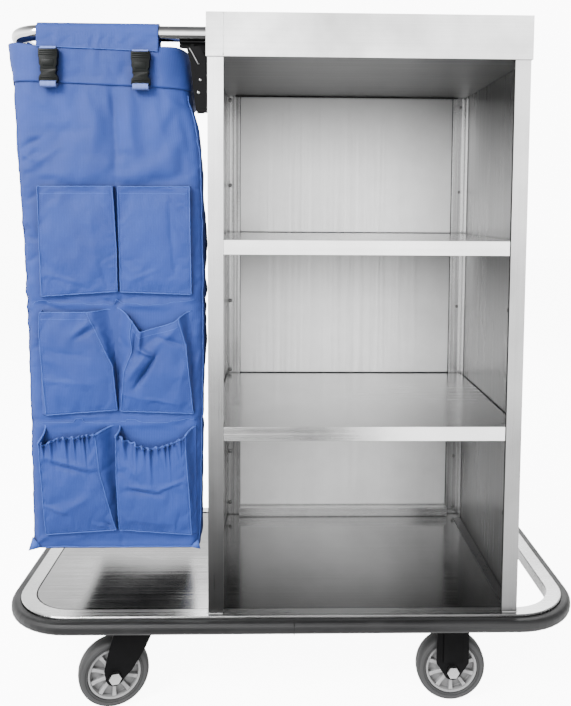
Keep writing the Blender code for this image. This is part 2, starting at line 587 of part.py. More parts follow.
def build_buckle(side, xc, top):
    yc, hw, ht = BUCKLE_Y, 0.016, 0.005
    y0, y1 = yc - ht, yc + ht
    f = box("buckle_socket_" + side, xc - hw, xc + hw, y0, y1, top - 0.033, top, "buckle")
    cuts = [box("slot", xc - 0.0135, xc + 0.0135, y0 - 0.01, y1 + 0.01, top - 0.0095, top - 0.0055),
            box("socket", xc - 0.0135, xc + 0.0135, yc - 0.0034, yc + 0.0034, top - 0.040, top - 0.0125),
            box("window_a", xc - 0.020, xc - 0.0120, yc - 0.0034, yc + 0.0034, top - 0.0290, top - 0.0170),
            box("window_b", xc + 0.0120, xc + 0.020, yc - 0.0034, yc + 0.0034, top - 0.0290, top - 0.0170)]
    boolean(f, cuts, "DIFFERENCE")
    mt = top - 0.0335
    p = box("buckle_plug_" + side, xc - hw, xc + hw, y0, y1, top - 0.055, mt, "buckle")
    boolean(p, [box("arm_a", xc - 0.0130, xc - 0.0085, yc - 0.0030, yc + 0.0030, mt - 0.002, mt + 0.0185),
                box("arm_b", xc + 0.0085, xc + 0.0130, yc - 0.0030, yc + 0.0030, mt - 0.002, mt + 0.0185),
                box("tongue", xc - 0.0030, xc + 0.0030, yc - 0.0020, yc + 0.0020, mt - 0.002, mt + 0.0170)], "UNION")
    boolean(p, [box("slot", xc - 0.0135, xc + 0.0135, y0 - 0.01, y1 + 0.01, top - 0.0510, top - 0.0470)], "DIFFERENCE")
    # webbing loops through both halves
    sw, st = 0.0130, 0.0015
    ya, yb = y0 - 0.0020, y1 + 0.0020
    def strap(name, za, zb):
        outer = [(ya, za), (yb, za), (yb, zb), (ya, zb)]
        inner = [(ya + st, za + st), (yb - st, za + st), (yb - st, zb - st), (ya + st, zb - st)]
        return ring_prism(name, outer, inner, "X", xc - sw, xc + sw, "webbing")
    strap("strap_upper_" + side, top - 0.0090, top + 0.0037)
    strap("strap_lower_" + side, top - 0.0690, top - 0.0480)

def build_pocket(name, x0, x1, z0, z1, depth):
    w = POCKET_WALL
    yb, yf = POCKET_BACK, POCKET_BACK - depth
    p = box(name, x0, x1, yf, yb, z0, z1, "fabric")
    cut = box("cut", x0 + w, x1 - w, yf + w, yb + 0.01, z0 + w, z1 + 0.01)
    return boolean(p, [cut], "DIFFERENCE")

# ---------------------------------------------------------------- build
build_frame_tube()
build_bumper()
build_deck()
build_beam("caster_beam_left", SWIVEL_X)
build_beam("caster_beam_right", FIXED_X)
build_cabinet()
build_hoop()
build_bracket("front", HOOP_Y0, -1)
build_bracket("rear", HOOP_Y1, 1)
build_bag()
build_flap("bag_flap_front", HOOP_Y0, False)
build_flap("bag_flap_rear", HOOP_Y1, True)
for _side, (_x, _z) in BUCKLES.items():
    build_buckle(_side, _x, _z)
for _name, _dims in POCKETS.items():
    build_pocket(_name, *_dims)
swivel_caster("swivel_front", SWIVEL_X, -CASTER_Y, SWIVEL_REST["front"])
swivel_caster("swivel_rear", SWIVEL_X, CASTER_Y, SWIVEL_REST["rear"])
fixed_caster("fixed_front", FIXED_X, -CASTER_Y)
fixed_caster("fixed_rear", FIXED_X, CASTER_Y)

# ---------------------------------------------------------------- origins of the moving pieces
def set_origin(ob, p):
    off = Vector(p) - ob.location
    ob.data.transform(Matrix.Translation(-off))
    ob.location = Vector(p)

for _end, _x, _y, _turn in (("swivel_front", SWIVEL_X, -CASTER_Y, SWIVEL_REST["front"]), ("swivel_rear", SWIVEL_X, CASTER_Y, SWIVEL_REST["rear"])):
    _a = math.radians(_turn)
    _c = (_x - TRAIL * math.cos(_a), _y - TRAIL * math.sin(_a), WHEEL_R)
    for _p in ("_rim", "_tyre"):
        set_origin(bpy.data.objects[_end + _p], _c)
    for _p in ("_fork", "_axle"):
        set_origin(bpy.data.objects[_end + _p], (_x, _y, 0.0))
for _end, _y in (("fixed_front", -CASTER_Y), ("fixed_rear", CASTER_Y)):
    for _p in ("_rim", "_tyre"):
        set_origin(bpy.data.objects[_end + _p], (FIXED_X, _y, WHEEL_R))
for _side, (_x, _z) in BUCKLES.items():
    for _p in ("buckle_plug_", "strap_lower_"):
        set_origin(bpy.data.objects[_p + _side], (_x, BUCKLE_Y, _z - 0.0335))
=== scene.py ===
from math import cos, exp, pi, radians, sin
import bpy, bmesh
import numpy as np
from mathutils import Vector, Matrix, noise
from mathutils.bvhtree import BVHTree


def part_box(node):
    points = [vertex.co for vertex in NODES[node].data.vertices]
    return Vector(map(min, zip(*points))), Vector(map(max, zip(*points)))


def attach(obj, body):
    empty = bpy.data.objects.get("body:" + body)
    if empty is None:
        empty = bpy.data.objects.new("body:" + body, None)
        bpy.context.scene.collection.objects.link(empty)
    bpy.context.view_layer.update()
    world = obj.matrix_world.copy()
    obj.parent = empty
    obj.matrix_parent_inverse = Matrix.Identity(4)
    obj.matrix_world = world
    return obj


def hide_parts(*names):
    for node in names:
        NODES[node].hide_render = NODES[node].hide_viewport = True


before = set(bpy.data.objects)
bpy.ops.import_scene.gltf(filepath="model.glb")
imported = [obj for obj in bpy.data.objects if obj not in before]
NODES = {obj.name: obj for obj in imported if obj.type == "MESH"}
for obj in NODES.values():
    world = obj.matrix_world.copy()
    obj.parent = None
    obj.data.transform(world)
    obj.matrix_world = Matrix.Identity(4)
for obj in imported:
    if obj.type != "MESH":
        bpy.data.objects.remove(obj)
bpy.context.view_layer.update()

MM = 0.001  # lists of places and sizes marked as mm are in millimetres
SCN = bpy.context.scene
MAT = {}  # every material by its short key


def middle(node):
    lo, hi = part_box(node)
    return (lo + hi) / 2


def clamp(v):
    return max(0.0, min(1.0, v))


def ease(v):
    """0 to 1 with a soft start and end."""
    v = clamp(v)
    return v * v * (3 - 2 * v)


def link(name, data):
    ob = bpy.data.objects.new(name, data)
    SCN.collection.objects.link(ob)
    return ob


# ---- node trees
class Tree:
    """Builds one node tree. A value given to a node is a number, a colour, a socket or another node."""
    def __init__(self, tree):
        self.nodes, self.links = tree.nodes, tree.links

    def add(self, kind, inputs, **props):
        node = self.nodes.new("ShaderNode" + kind)
        for key, value in props.items():
            setattr(node, key, value)
        for key, value in inputs.items():
            self.put(node, key, value)
        return node

    def put(self, node, key, value):
        if isinstance(value, bpy.types.Node):
            value = value.outputs[0]
        if isinstance(value, bpy.types.NodeSocket):
            self.links.new(value, node.inputs[key])
        else:
            node.inputs[key].default_value = value

    def coord(self, kind):
        return self.add("TexCoord", {}).outputs[kind]

    def axes(self, kind):
        return self.add("SeparateXYZ", {0: self.coord(kind)}).outputs

    def noise(self, scale, detail, rough=0.5, stretch=(1, 1, 1), twist=0.0):
        place = self.add("Mapping", {"Vector": self.coord("Object"), "Scale": stretch})
        return self.add("TexNoise", {"Vector": place, "Scale": scale, "Detail": detail,
                                     "Roughness": rough, "Distortion": twist})

    def threads(self, direction, stretch, scale):
        place = self.add("Mapping", {"Vector": self.coord("Object"), "Scale": stretch})
        return self.add("TexWave", {"Vector": place, "Scale": scale, "Distortion": 0.6, "Detail": 1.0},
                        bands_direction=direction).outputs["Fac"]

    def plus(self, a, b):
        return self.add("Math", {0: a, 1: b}, operation="ADD")

    def times(self, a, b):
        return self.add("Math", {0: a, 1: b}, operation="MULTIPLY")

    def remap(self, value, lo, hi, start=0.0, end=1.0):
        """Runs from lo to hi while value runs from start to end."""
        return self.add("MapRange", {"Value": value, "From Min": start, "From Max": end,
                                     "To Min": lo, "To Max": hi})

    def ramp(self, value, first, last, between=()):
        """A colour ramp; each stop is a position and a grey or a colour."""
        node = self.add("ValToRGB", {0: value})
        marks = node.color_ramp.elements
        for k, (place, tone) in enumerate([first, last, *between]):
            mark = marks[k] if k < 2 else marks.new(place)
            mark.position, mark.color = place, (*tone, 1) if np.ndim(tone) else (tone, tone, tone, 1)
        return node

    def blend(self, factor, colour, into):
        """colour, with the plain colour into laid over it by factor."""
        node = self.add("Mix", {"Factor": factor}, data_type="RGBA")
        self.put(node, 6, colour)
        self.put(node, 7, (*into, 1))
        return node.outputs[2]

    def shadow(self, distance, samples=6):
        """1 in the open, falling to 0 in corners narrower than distance."""
        return self.add("AmbientOcclusion", {"Distance": distance}, samples=samples).outputs["AO"]

    def surface(self, shader, colour, rough, normal):
        for key, value in (("Base Color", colour), ("Roughness", rough), ("Normal", normal)):
            self.put(shader, key, value)

    def bump(self, height, strength, distance, below=None):
        node = self.add("Bump", {"Height": height, "Strength": strength, "Distance": distance})
        if below is not None:
            self.put(node, "Normal", below)
        return node


def new_material(name, **inputs):
    mat = bpy.data.materials.new(name)
    mat.use_nodes = True
    shader = mat.node_tree.nodes["Principled BSDF"]
    for key, value in inputs.items():
        shader.inputs[key.replace("_", " ")].default_value = value
    return mat, Tree(mat.node_tree), shader


# ---- camera, floor, light
def make_camera():
    """The camera that took the photo, from the fit of the cart's outline."""
    data = bpy.data.cameras.new("camera")
    data.sensor_fit, data.sensor_width = "AUTO", 36.0
    data.lens = 38.83
    data.shift_x, data.shift_y = -0.0178, -0.1289
    data.clip_start, data.clip_end = 0.02, 60
    yaw, pitch, roll = -0.0244, 0.0691, 0.0065
    forward = Vector((-sin(yaw) * cos(pitch), cos(yaw) * cos(pitch), -sin(pitch)))
    level = Vector((cos(yaw), sin(yaw), 0))
    rise = level.cross(forward)
    right = level * cos(roll) + rise * sin(roll)
    up = rise * cos(roll) - level * sin(roll)
    pose = Matrix((right, up, -forward)).transposed().to_4x4()
    pose.translation = (-0.0286, -1.5331, 0.8916)
    SCN.camera = link("camera", data)
    SCN.camera.matrix_world = pose


def make_world():
    """A dim room with a bright soft band at the height of the horizon, dimmer to the left."""
    world = bpy.data.worlds.new("studio")
    SCN.world = world
    world.use_nodes = True
    g = Tree(world.node_tree)
    ways = g.axes("Generated")
    sky = g.ramp(g.remap(ways["Z"], 0.0, 1.0, -1.0, 1.0), (0.0, 0.05), (1.0, (0.05, 0.05, 0.052)),
                 [(0.44, 0.12), (0.485, 1.0), (0.60, 1.0), (0.70, 0.62), (0.80, 0.25), (0.90, 0.09)])
    tint = g.add("VectorMath", {0: sky, "Scale": g.remap(ways["X"], 1.0, 0.30, 0.35, 0.9)}, operation="SCALE")
    g.put(world.node_tree.nodes["Background"], "Color", tint)
    g.put(world.node_tree.nodes["Background"], "Strength", 4.0)


def stage_sheet(name, points, faces, z, grey, glow, rays):
    """A sheet of the studio that only the named kinds of ray meet."""
    mesh = bpy.data.meshes.new(name)
    mesh.from_pydata(points, [], faces)
    mesh.materials.append(new_material(name, Base_Color=(grey, grey, grey, 1), Roughness=0.9 if glow else 0.5,
                                       Emission_Strength=glow)[0])
    ob = link(name, mesh)
    ob.location.z = z
    for ray in ("camera", "diffuse", "glossy", "transmission", "shadow"):
        setattr(ob, "visible_" + ray, ray in rays)


def rectangle(x0, x1, y0, y1):
    return [(x0, y0, 0), (x1, y0, 0), (x1, y1, 0), (x0, y1, 0)], [(0, 1, 2, 3)]


def make_stage():
    make_world()
    floor = rectangle(-14, 14, -14, 14)
    stage_sheet("floor", *floor, -0.0005, 0.95, 9.0, ("camera", "transmission", "shadow"))
    # the same floor as the steel sees it, and a white wall far behind for the eye only
    stage_sheet("floor_glow", *floor, -0.001, 0.95, 2.4, ("glossy",))
    radius, steps = 13.5, 32
    turns = [pi * k / 16 for k in range(steps + 1)]
    wall = [(radius * cos(a), radius * sin(a), z) for z in (-0.5, 11.0) for a in turns]
    quads = [(k, k + 1, k + steps + 2, k + steps + 1) for k in range(steps)]
    stage_sheet("wall_glow", wall, quads, -0.001, 0.95, 9.0, ("camera",))
    # a black card lying in front of the cart, seen only in the bare steel, as a studio would use
    stage_sheet("flag", *rectangle(-2.2, 0.34, -2.8, -0.36), 0.003, 0.01, 0.0, ("glossy",))
    for name, place, aim, size, power in (
            ("key", (-1.9, -2.4, 2.7), (-0.1, -0.1, 0.6), (1.5, 1.3), 275),
            ("fill", (2.4, -2.4, 1.2), (0.1, 0.0, 0.7), (1.6, 1.8), 14),
            ("low", (-0.9, -2.6, 0.15), (-0.3, -0.2, 0.45), (2.4, 0.6), 80),
            ("rim", (0.3, 2.6, 2.4), (0.0, 0.0, 0.8), (3.0, 1.2), 90)):
        lamp = bpy.data.lights.new(name, "AREA")
        lamp.shape, lamp.size, lamp.size_y, lamp.energy = "RECTANGLE", *size, power
        ob = link(name, lamp)
        ob.location = place
        ob.rotation_euler = (Vector(aim) - Vector(place)).to_track_quat("-Z", "Y").to_euler()
        ob.visible_glossy = name != "low"


# ---- materials
# places of the bays' floors and ceilings up the back panel, and the painted shade and reflection of the steel there
BAY_TONES = [(0.20, 0.95), (0.36, 0.75), (0.484, 0.40), (0.516, 1.0), (0.68, 0.80), (0.808, 0.40),
             (0.840, 1.0), (0.98, 0.80), (1.08, 0.55), (1.143, 0.36)]
BAY_TOP = 1.25


def steel(name, along, base, rough, streak, under=None, fine_amount=0.06, wave=0.12,
          foot=1.0, front=1.0, left=1.0, bays=False, blot=0.05):
    """Brushed stainless sheet. along is the direction of the grain, under the painted shade of faces that look down,
    front and left give painted light and shade to faces that look to -Y and -X, foot the painted shade low down, bays
    paints each bay darker towards its ceiling as the shelves' shade and reflection, blot is how cloudy the sheet is,
    and corners get painted shade."""
    mat, g, shader = new_material(name, Metallic=1.0)
    stretch = [3 if axis == along else 620 for axis in "XYZ"]
    cloud = g.noise(5.0, 4.0, 0.55)
    brush = g.plus(g.noise(1.0, 3.0, 0.65, stretch), g.noise(1.0, 2.0, stretch=[v * 0.3 for v in stretch]))
    shade = g.times(g.remap(brush, 1 - fine_amount, 1 + fine_amount, 0.7, 1.3),
                    g.remap(cloud, 1 - blot, 1 + blot, 0.35, 0.65))
    facing, height = g.axes("Normal"), g.axes("Object")["Z"]
    # painted light and shade by the way a face looks: down, to -Y and to -X
    level = g.remap(facing["Z"], base if under is None else under, base, -0.9, -0.2)
    for axis, gain in (("Y", front), ("X", left)):
        if gain != 1.0:
            level = g.times(level, g.remap(facing[axis], gain, 1.0, -0.9, -0.5))
    # painted shade and reflection of the shelves: each bay darker towards its ceiling
    if bays:
        lit = g.ramp(g.remap(height, 0.0, 1.0, 0.0, BAY_TOP), (0.0, 0.8), (1.0, 0.3),
                     [(z / BAY_TOP, tone) for z, tone in BAY_TONES])
        bay_shade = g.times(lit, g.remap(facing["Y"], 1.0, 0.0, -0.9, -0.5))
        painted_shade_tone = g.plus(g.remap(facing["Y"], 0.0, 0.5, -0.9, -0.5), bay_shade)
    else:
        # painted shade: darker low down, falling to foot
        painted_shade_tone = g.remap(height, foot, 1.0, 0.20, 1.10)
    tone = g.times(g.times(level, painted_shade_tone), shade)
    # painted shade in corners and joints
    tone = g.times(tone, g.remap(g.shadow(0.007), 0.30, 1.0, 0.45, 0.85))
    matt = g.plus(g.remap(brush, rough - 0.05, rough + 0.05, 0.7, 1.3), g.remap(cloud, -0.04, 0.06, 0.3, 0.7))
    g.surface(shader, g.add("CombineColor", {0: tone, 1: tone, 2: tone}), matt,
              g.bump(g.noise(2.2, 1.0), wave, 0.010, g.bump(brush, streak, 0.0004)))
    return mat


def polished(name, base, rough):
    mat, g, shader = new_material(name, Metallic=1.0)
    smear = g.noise(60.0, 5.0)
    g.surface(shader, g.ramp(smear, (0.3, base * 0.94), (0.7, base * 1.03)),
              g.remap(smear, rough - 0.03, rough + 0.07, 0.3, 0.7), g.bump(g.noise(900.0, 2.0), 0.04, 0.0003))
    return mat


def shaded(colour, amount):
    return [v * amount for v in colour]


def moulded(name, dark, light, rough, grain, bump, spec):
    """Plastic, rubber or paint: mottled colour, worn edges, scuffs in the roughness, a fine texture and painted shade
    in corners.
    """
    mat, g, shader = new_material(name, Specular_IOR_Level=spec)
    mottle = g.noise(22.0, 6.0, 0.6)
    edge = g.add("NewGeometry", {}).outputs["Pointiness"]
    worn = [min(1, v * 2.2 + 0.002) for v in light]
    colour = g.blend(g.remap(edge, 0.0, 0.35, 0.52, 0.62), g.ramp(mottle, (0.3, dark), (0.7, light)), worn)
    # painted shade: darker in corners
    colour = g.blend(g.remap(g.shadow(0.012), 0.75, 0.0, 0.25, 0.95), colour, shaded(dark, 0.15))
    g.surface(shader, colour, g.remap(mottle, rough - 0.08, rough + 0.10, 0.3, 0.7),
              g.bump(g.noise(grain, 3.0), bump, 0.0004))
    return mat


def cloth(name, dark, light, thread=0.0011, depth=0.35, sheen=0.25, spec=0.5, rough=0.78):
    """Coated plain weave: two crossed sets of threads, with soft colour variation, small creases and painted shade in
    hollows and corners.
    """
    mat, g, shader = new_material(name, Specular_IOR_Level=spec, Sheen_Weight=sheen, Sheen_Roughness=0.45,
                                  Sheen_Tint=(0.75, 0.82, 1.0, 1))
    pitch = 1.0 / thread / 2 / 3.14
    weave = g.times(g.threads("DIAGONAL", (1, 1, 0), pitch), g.threads("Z", (0, 0, 1), pitch))
    mottle = g.noise(7.0, 5.0, 0.6)
    slub = g.remap(g.noise(1.0, 2.0, stretch=(60, 60, 900)), -0.08, 0.08)
    colour = g.ramp(g.plus(mottle, slub), (0.30, dark), (0.72, light))
    colour = g.blend(g.remap(weave, 0.18, 0.0), colour, shaded(dark, 0.45))
    # painted shade: darker in hollows, creases and corners
    colour = g.blend(g.remap(g.shadow(0.020, 8), 0.62, 0.0, 0.35, 1.0), colour, shaded(dark, 0.22))
    creased = g.noise(18.0, 4.0, stretch=(1, 1, 0.6), twist=0.6)
    g.surface(shader, colour, g.remap(mottle, rough - 0.06, rough + 0.06),
              g.bump(creased, 0.25, 0.004, g.bump(weave, depth, 0.0005)))
    return mat


def make_materials():
    # Each part's steel has its own base tone as painted light and shade: dark for the deck and the cabinet's walls,
    # bright for the back panel, lighter front faces on the shelf lips and darker -X faces on the frame tube.
    MAT.update(
        steel_x=steel("steel_x", "X", 0.52, 0.26, 0.10, under=0.15, left=0.30),
        lip=steel("shelf_steel", "X", 0.56, 0.20, 0.10, under=0.15, front=1.6, blot=0.12),
        steel_z=steel("steel_z", "Z", 0.62, 0.32, 0.06, foot=0.28, front=0.95, blot=0.18),
        steel_post=steel("steel_post", "Z", 0.62, 0.30, 0.06, foot=0.10, front=1.4, blot=0.15),
        # strong vertical streaks: brushing, with painted highlights of the rear posts' rounded folds
        corner=steel("corner_steel", "Z", 0.55, 0.22, 0.10, fine_amount=0.50, wave=0.05),
        deck=steel("deck_steel", "X", 0.27, 0.145, 0.10, blot=0.10),
        apron=steel("apron_steel", "X", 0.66, 0.38, 0.06, under=0.13, fine_amount=0.05, front=1.12, blot=0.30),
        back=steel("back_steel", "Z", 0.98, 0.50, 0.04, fine_amount=0.02, bays=True, blot=0.12),
        wall=steel("wall_steel", "Z", 0.17, 0.30, 0.012, fine_amount=0.03, wave=0.02, blot=0.12),
        tube=polished("polished_tube", 0.66, 0.07),
        zinc=polished("zinc", 0.40, 0.26),
        # dark rivet steel, which paints in the shade round each head
        rivet=polished("rivet", 0.16, 0.35),
        bumper=moulded("bumper_rubber", (0.005, 0.005, 0.0053), (0.011, 0.011, 0.0114), 0.50, 500, 0.35, 0.35),
        paint=moulded("black_paint", (0.0012, 0.0012, 0.0013), (0.0028, 0.0028, 0.003), 0.50, 900, 0.3, 0.05),
        buckle=moulded("buckle_plastic", (0.0008, 0.0012, 0.001), (0.002, 0.0028, 0.0024), 0.42, 1200, 0.25, 0.1),
        rim=moulded("rim_plastic", (0.170, 0.170, 0.171), (0.240, 0.240, 0.242), 0.45, 800, 0.2, 0.4),
        tyre=moulded("tyre_rubber", (0.015, 0.015, 0.0153), (0.027, 0.027, 0.0275), 0.62, 450, 0.4, 0.3),
        gap=moulded("joint_gap_and_painted_shadow", (0.004, 0.004, 0.004), (0.012, 0.012, 0.012), 0.8, 900, 0.3, 0.1),
        cloth=cloth("bag_cloth", (0.0080, 0.0285, 0.165), (0.0135, 0.0405, 0.218), sheen=0.02),
        edge=cloth("edge_cloth", (0.022, 0.062, 0.290), (0.034, 0.082, 0.340), depth=0.5, sheen=0.06),
        # near-black cloth for the bag's bottom: painted shade, also seen in the deck's steel
        base=cloth("bag_bottom_painted_shade_cloth", (0.0016, 0.002, 0.004), (0.003, 0.004, 0.007), sheen=0.0, spec=0.05),
        web=cloth("webbing", (0.075, 0.12, 0.36), (0.11, 0.16, 0.43), thread=0.0018, depth=0.6, sheen=0.10))


def finish_frame():
    """The looks of the CAD pieces that stay: a material and a small rounding of their edges."""
    plain = ("side_panel_left", "side_panel_right", "caster_beam_left", "caster_beam_right")
    table = [("deck", 0.0003, ["deck_sheet"]), ("steel_x", 0, ["frame_tube"]), ("steel_x", 0.0004, ["back_sill"]),
             ("lip", 0.0004, ["shelf_upper", "shelf_lower"]), ("back", 0.0003, ["back_panel"]),
             ("apron", 0.0008, ["top_tray"]), ("apron", 0.0006, ["tray_end_left"]),
             ("steel_post", 0.0007, ["post_front_left"]), ("steel_z", 0.0007, ["post_front_right"]),
             ("corner", 0.0004, ["post_rear_left", "post_rear_right"]), ("wall", 0.0003, plain),
             ("bumper", 0, ["frame_bumper"]),
             ("paint", 0.0005, [n for n in NODES if n.startswith("bracket_") or n.endswith(("_fork", "_plate"))]),
             ("zinc", 0.0006, [n for n in NODES if n.endswith("_axle")])]
    for key, width, names in table:
        for name in names:
            NODES[name].data.materials.clear()
            NODES[name].data.materials.append(MAT[key])
            if width:
                bevel(NODES[name], width, 2, radians(35))


# ---- mesh helpers
def own(ob, body, slot, node=None):
    """The body that the piece rides on, its material slot, which is not used, and the CAD node it stands for."""
    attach(ob, body)
    if node:
        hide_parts(node)
    return ob


def make(name, shape, mat, body=None, slot=None, node=None, sharp=None, smooth=True, closed=True, world=None):
    """A new piece from its points and faces; edges stay sharp above an angle of sharp degrees."""
    mesh = bpy.data.meshes.new(name)
    mesh.from_pydata([tuple(p) for p in shape[0]], [], [tuple(f) for f in shape[1]])
    mesh.polygons.foreach_set("use_smooth", [smooth] * len(mesh.polygons))
    mesh.materials.append(MAT[mat])
    ob = link(name, mesh)
    if world is not None:
        ob.matrix_world = world
    if closed:
        bm = bmesh.new()
        bm.from_mesh(mesh)
        bmesh.ops.recalc_face_normals(bm, faces=bm.faces)
        for edge in bm.edges if sharp else ():
            edge.smooth = len(edge.link_faces) == 2 and edge.calc_face_angle(0) < radians(sharp)
        bm.to_mesh(mesh)
        bm.free()
    return own(ob, body, slot, node) if body else ob


def modifier(ob, kind, **props):
    md = ob.modifiers.new(kind.lower(), kind)
    for key, value in props.items():
        setattr(md, key, value)


def bevel(ob, width, segments, angle):
    modifier(ob, "BEVEL", width=width, segments=segments, limit_method="ANGLE", angle_limit=angle)


def apply_all(ob):
    bpy.context.view_layer.update()
    graph = bpy.context.evaluated_depsgraph_get()
    mesh = bpy.data.meshes.new_from_object(ob.evaluated_get(graph))
    ob.modifiers.clear()
    ob.data = mesh
    return ob


def circle(n):
    return [(cos(2 * pi * k / n), sin(2 * pi * k / n)) for k in range(n)]


def arc(cx, cy, r, start, end, steps):
    """Points on an arc, angles in degrees."""
    turns = [radians(start + (end - start) * k / steps) for k in range(steps + 1)]
    return [(cx + r * cos(a), cy + r * sin(a)) for a in turns]


def grid_faces(rows, cols, closed):
    faces = []
    for i in range(rows - 1):
        for k in range(cols if closed else cols - 1):
            a, b = i * cols + k, i * cols + (k + 1) % cols
            faces.append((a, b, b + cols, a + cols))
    return faces


def join(shapes):
    points, faces = [], []
    for more, sides in shapes:
        start = len(points)
        points += list(more)
        faces += [tuple(i + start for i in side) for side in sides]
    return points, faces


def lathe(profile, n):
    """A closed profile of (radius, width) turned about the Y axis."""
    m = len(profile)
    points = [(r * c, w, r * s) for c, s in circle(n) for r, w in profile]
    faces = [(i * m + k, (i + 1) % n * m + k, (i + 1) % n * m + (k + 1) % m, i * m + (k + 1) % m)
             for i in range(n) for k in range(m)]
    return points, faces


def prism(outline, y0, y1):
    """An outline in x and z, carried from y0 to y1."""
    n = len(outline)
    points = [(x, y, z) for y in (y0, y1) for x, z in outline]
    faces = [tuple(range(n)), tuple(range(2 * n - 1, n - 1, -1))]
    return points, faces + [(i, n + i, n + (i + 1) % n, (i + 1) % n) for i in range(n)]


def box(x0, x1, y0, y1, z0, z1):
    return prism([(x0, z0), (x1, z0), (x1, z1), (x0, z1)], y0, y1)


def tube(path, r, n=8):
    """A round tube along a list of points, closed at its ends."""
    path = [Vector(p) for p in path]
    last = len(path) - 1
    points, side = [], None
    for i, p in enumerate(path):
        along = (path[min(i + 1, last)] - path[max(i - 1, 0)]).normalized()
        if side is None:
            side = along.cross(Vector((0, 0, 1)) if abs(along.z) < 0.9 else Vector((0, 1, 0))).normalized()
        else:
            side = (side - along * side.dot(along)).normalized()
        across = along.cross(side)
        points += [p + (side * c + across * s) * r for c, s in circle(n)]
    caps = [tuple(range(n - 1, -1, -1)), tuple(range(last * n, (last + 1) * n))]
    return points, grid_faces(last + 1, n, True) + caps


def dome(centre, axis, r, h, n=20):
    """A low rivet or screw head on a face, standing out along axis."""
    axis, centre = Vector(axis), Vector(centre)
    side = axis.orthogonal().normalized()
    across = axis.cross(side)
    points = [centre + axis * h]
    for wide, high in ((0.35, 0.96), (0.7, 0.75), (0.92, 0.4), (1.0, 0.0)):
        points += [centre + axis * (h * high) + (side * c + across * s) * (r * wide) for c, s in circle(n)]
    faces = [(0, 1 + k, 1 + (k + 1) % n) for k in range(n)]
    faces += [tuple(i + 1 for i in face) for face in grid_faces(4, n, True)]
    return points, faces + [tuple(1 + 3 * n + k for k in range(n - 1, -1, -1))]


# ---- casters
AT_REST = {"swivel_front": 17.0, "swivel_rear": -7.0, "fixed_front": 0.0, "fixed_rear": 0.0}  # degrees turned
TYRE_R, TYRE_HALF, SHOULDER_R = 0.0625, 0.016, 0.0550
# the rim's hub, dished web and ring, as radius and half-width in mm
RIM = [(6.2, 19.0), (13.5, 19.0), (15.0, 17.8), (16.0, 15.0), (17.5, 6.5), (20.0, 4.5), (39.5, 3.5), (41.0, 4.5),
       (42.0, 12.5), (42.6, 13.7), (44.0, 14.1), (45.8, 14.1), (46.5, 13.6)]
# a spoke's sections in mm: radius, half-width at its foot and at its top, and height
SPOKE = [(14.0, 4.6, 4.2, 15.0), (22.0, 3.4, 3.0, 12.8), (33.0, 3.2, 2.8, 11.6), (42.8, 4.4, 4.0, 11.8)]
SPOKES = 10


def tyre_profile():
    w = TYRE_HALF
    half = [(0.0468, w - 0.0012), (0.0480, w), (0.0500, w), (0.0504, w - 0.0005), (0.0510, w - 0.0005),
            (0.0514, w), (SHOULDER_R, w)]
    for k in range(7):
        a = radians(90 - 90 * k / 6)
        half.append((SHOULDER_R + 0.0072 * cos(a), w - 0.0105 + 0.0105 * sin(a)))
    half += [(TYRE_R - 0.0001, 0.0035), (TYRE_R, 0.0)]
    return half + [(r, -y) for r, y in reversed(half[:-1])]


def spoke(turn, side):
    c, s = cos(turn), sin(turn)
    points, edge = [], 0.0006
    for row in SPOKE:
        r, foot, top, high = (v * MM for v in row)
        for d, y in ((-foot, 0.003), (-top, high - edge), (edge - top, high), (top - edge, high),
                     (top, high - edge), (foot, 0.003)):
            points.append((r * c - d * s, side * y, r * s + d * c))
    return points, grid_faces(4, 6, True) + [tuple(range(6)), tuple(range(18, 24))]


def make_wheels():
    half = [(r * MM, y * MM) for r, y in RIM]
    shapes = [lathe(half + [(r, -y) for r, y in reversed(half)], 96)]
    shapes += [spoke(2 * pi * (k + 0.5) / SPOKES, side) for k in range(SPOKES) for side in (-1, 1)]
    rim, tyre = join(shapes), lathe(tyre_profile(), 96)
    for end, turn in AT_REST.items():
        world = Matrix.Translation(middle(end + "_tyre")) @ Matrix.Rotation(radians(turn), 4, "Z")
        for part, shape, slot, sharp in (("tyre", tyre, "tyre_rubber", 40), ("rim", rim, "rim_plastic", 32)):
            make("%s_%s_detail" % (end, part), shape, part, end + "_wheel", slot, "%s_%s" % (end, part), sharp,
                 world=world)


# ---- hoop and small metal parts
HOOP_FRONT, HOOP_REAR, HOOP_LEFT, HOOP_RIGHT = -0.222, 0.198, -0.483, -0.1538
HOOP_Z, HOOP_R, HOOP_BEND = 1.1846, 0.013, 0.060
SHEET = ("cart", "brushed_sheet")
PLATE = [(-186.5, 1162), (-164, 1162), (-157.5, 1150), (-154.2, 1145), (-153, 1056), (-157, 1051), (-168, 1051),
         (-170.5, 1058), (-173, 1076), (-175.5, 1095), (-177, 1115), (-179, 1134), (-182.5, 1147)]  # mm
WIRE = [(-181, 1159), (-177, 1153), (-170, 1140), (-166.2, 1132.5), (-164, 1133.5)]  # mm


def make_hoop():
    x, bend = HOOP_LEFT + HOOP_BEND, HOOP_BEND
    path = [(HOOP_RIGHT, HOOP_FRONT)]
    path += arc(x, HOOP_FRONT + bend, bend, 270, 180, 16) + arc(x, HOOP_REAR - bend, bend, 180, 90, 16)
    path.append((HOOP_RIGHT, HOOP_REAR))
    make("bag_hoop_tube", tube([(a, b, HOOP_Z) for a, b in path], HOOP_R, 40), "tube", "cart", "polished_tube",
         "bag_hoop", 40)


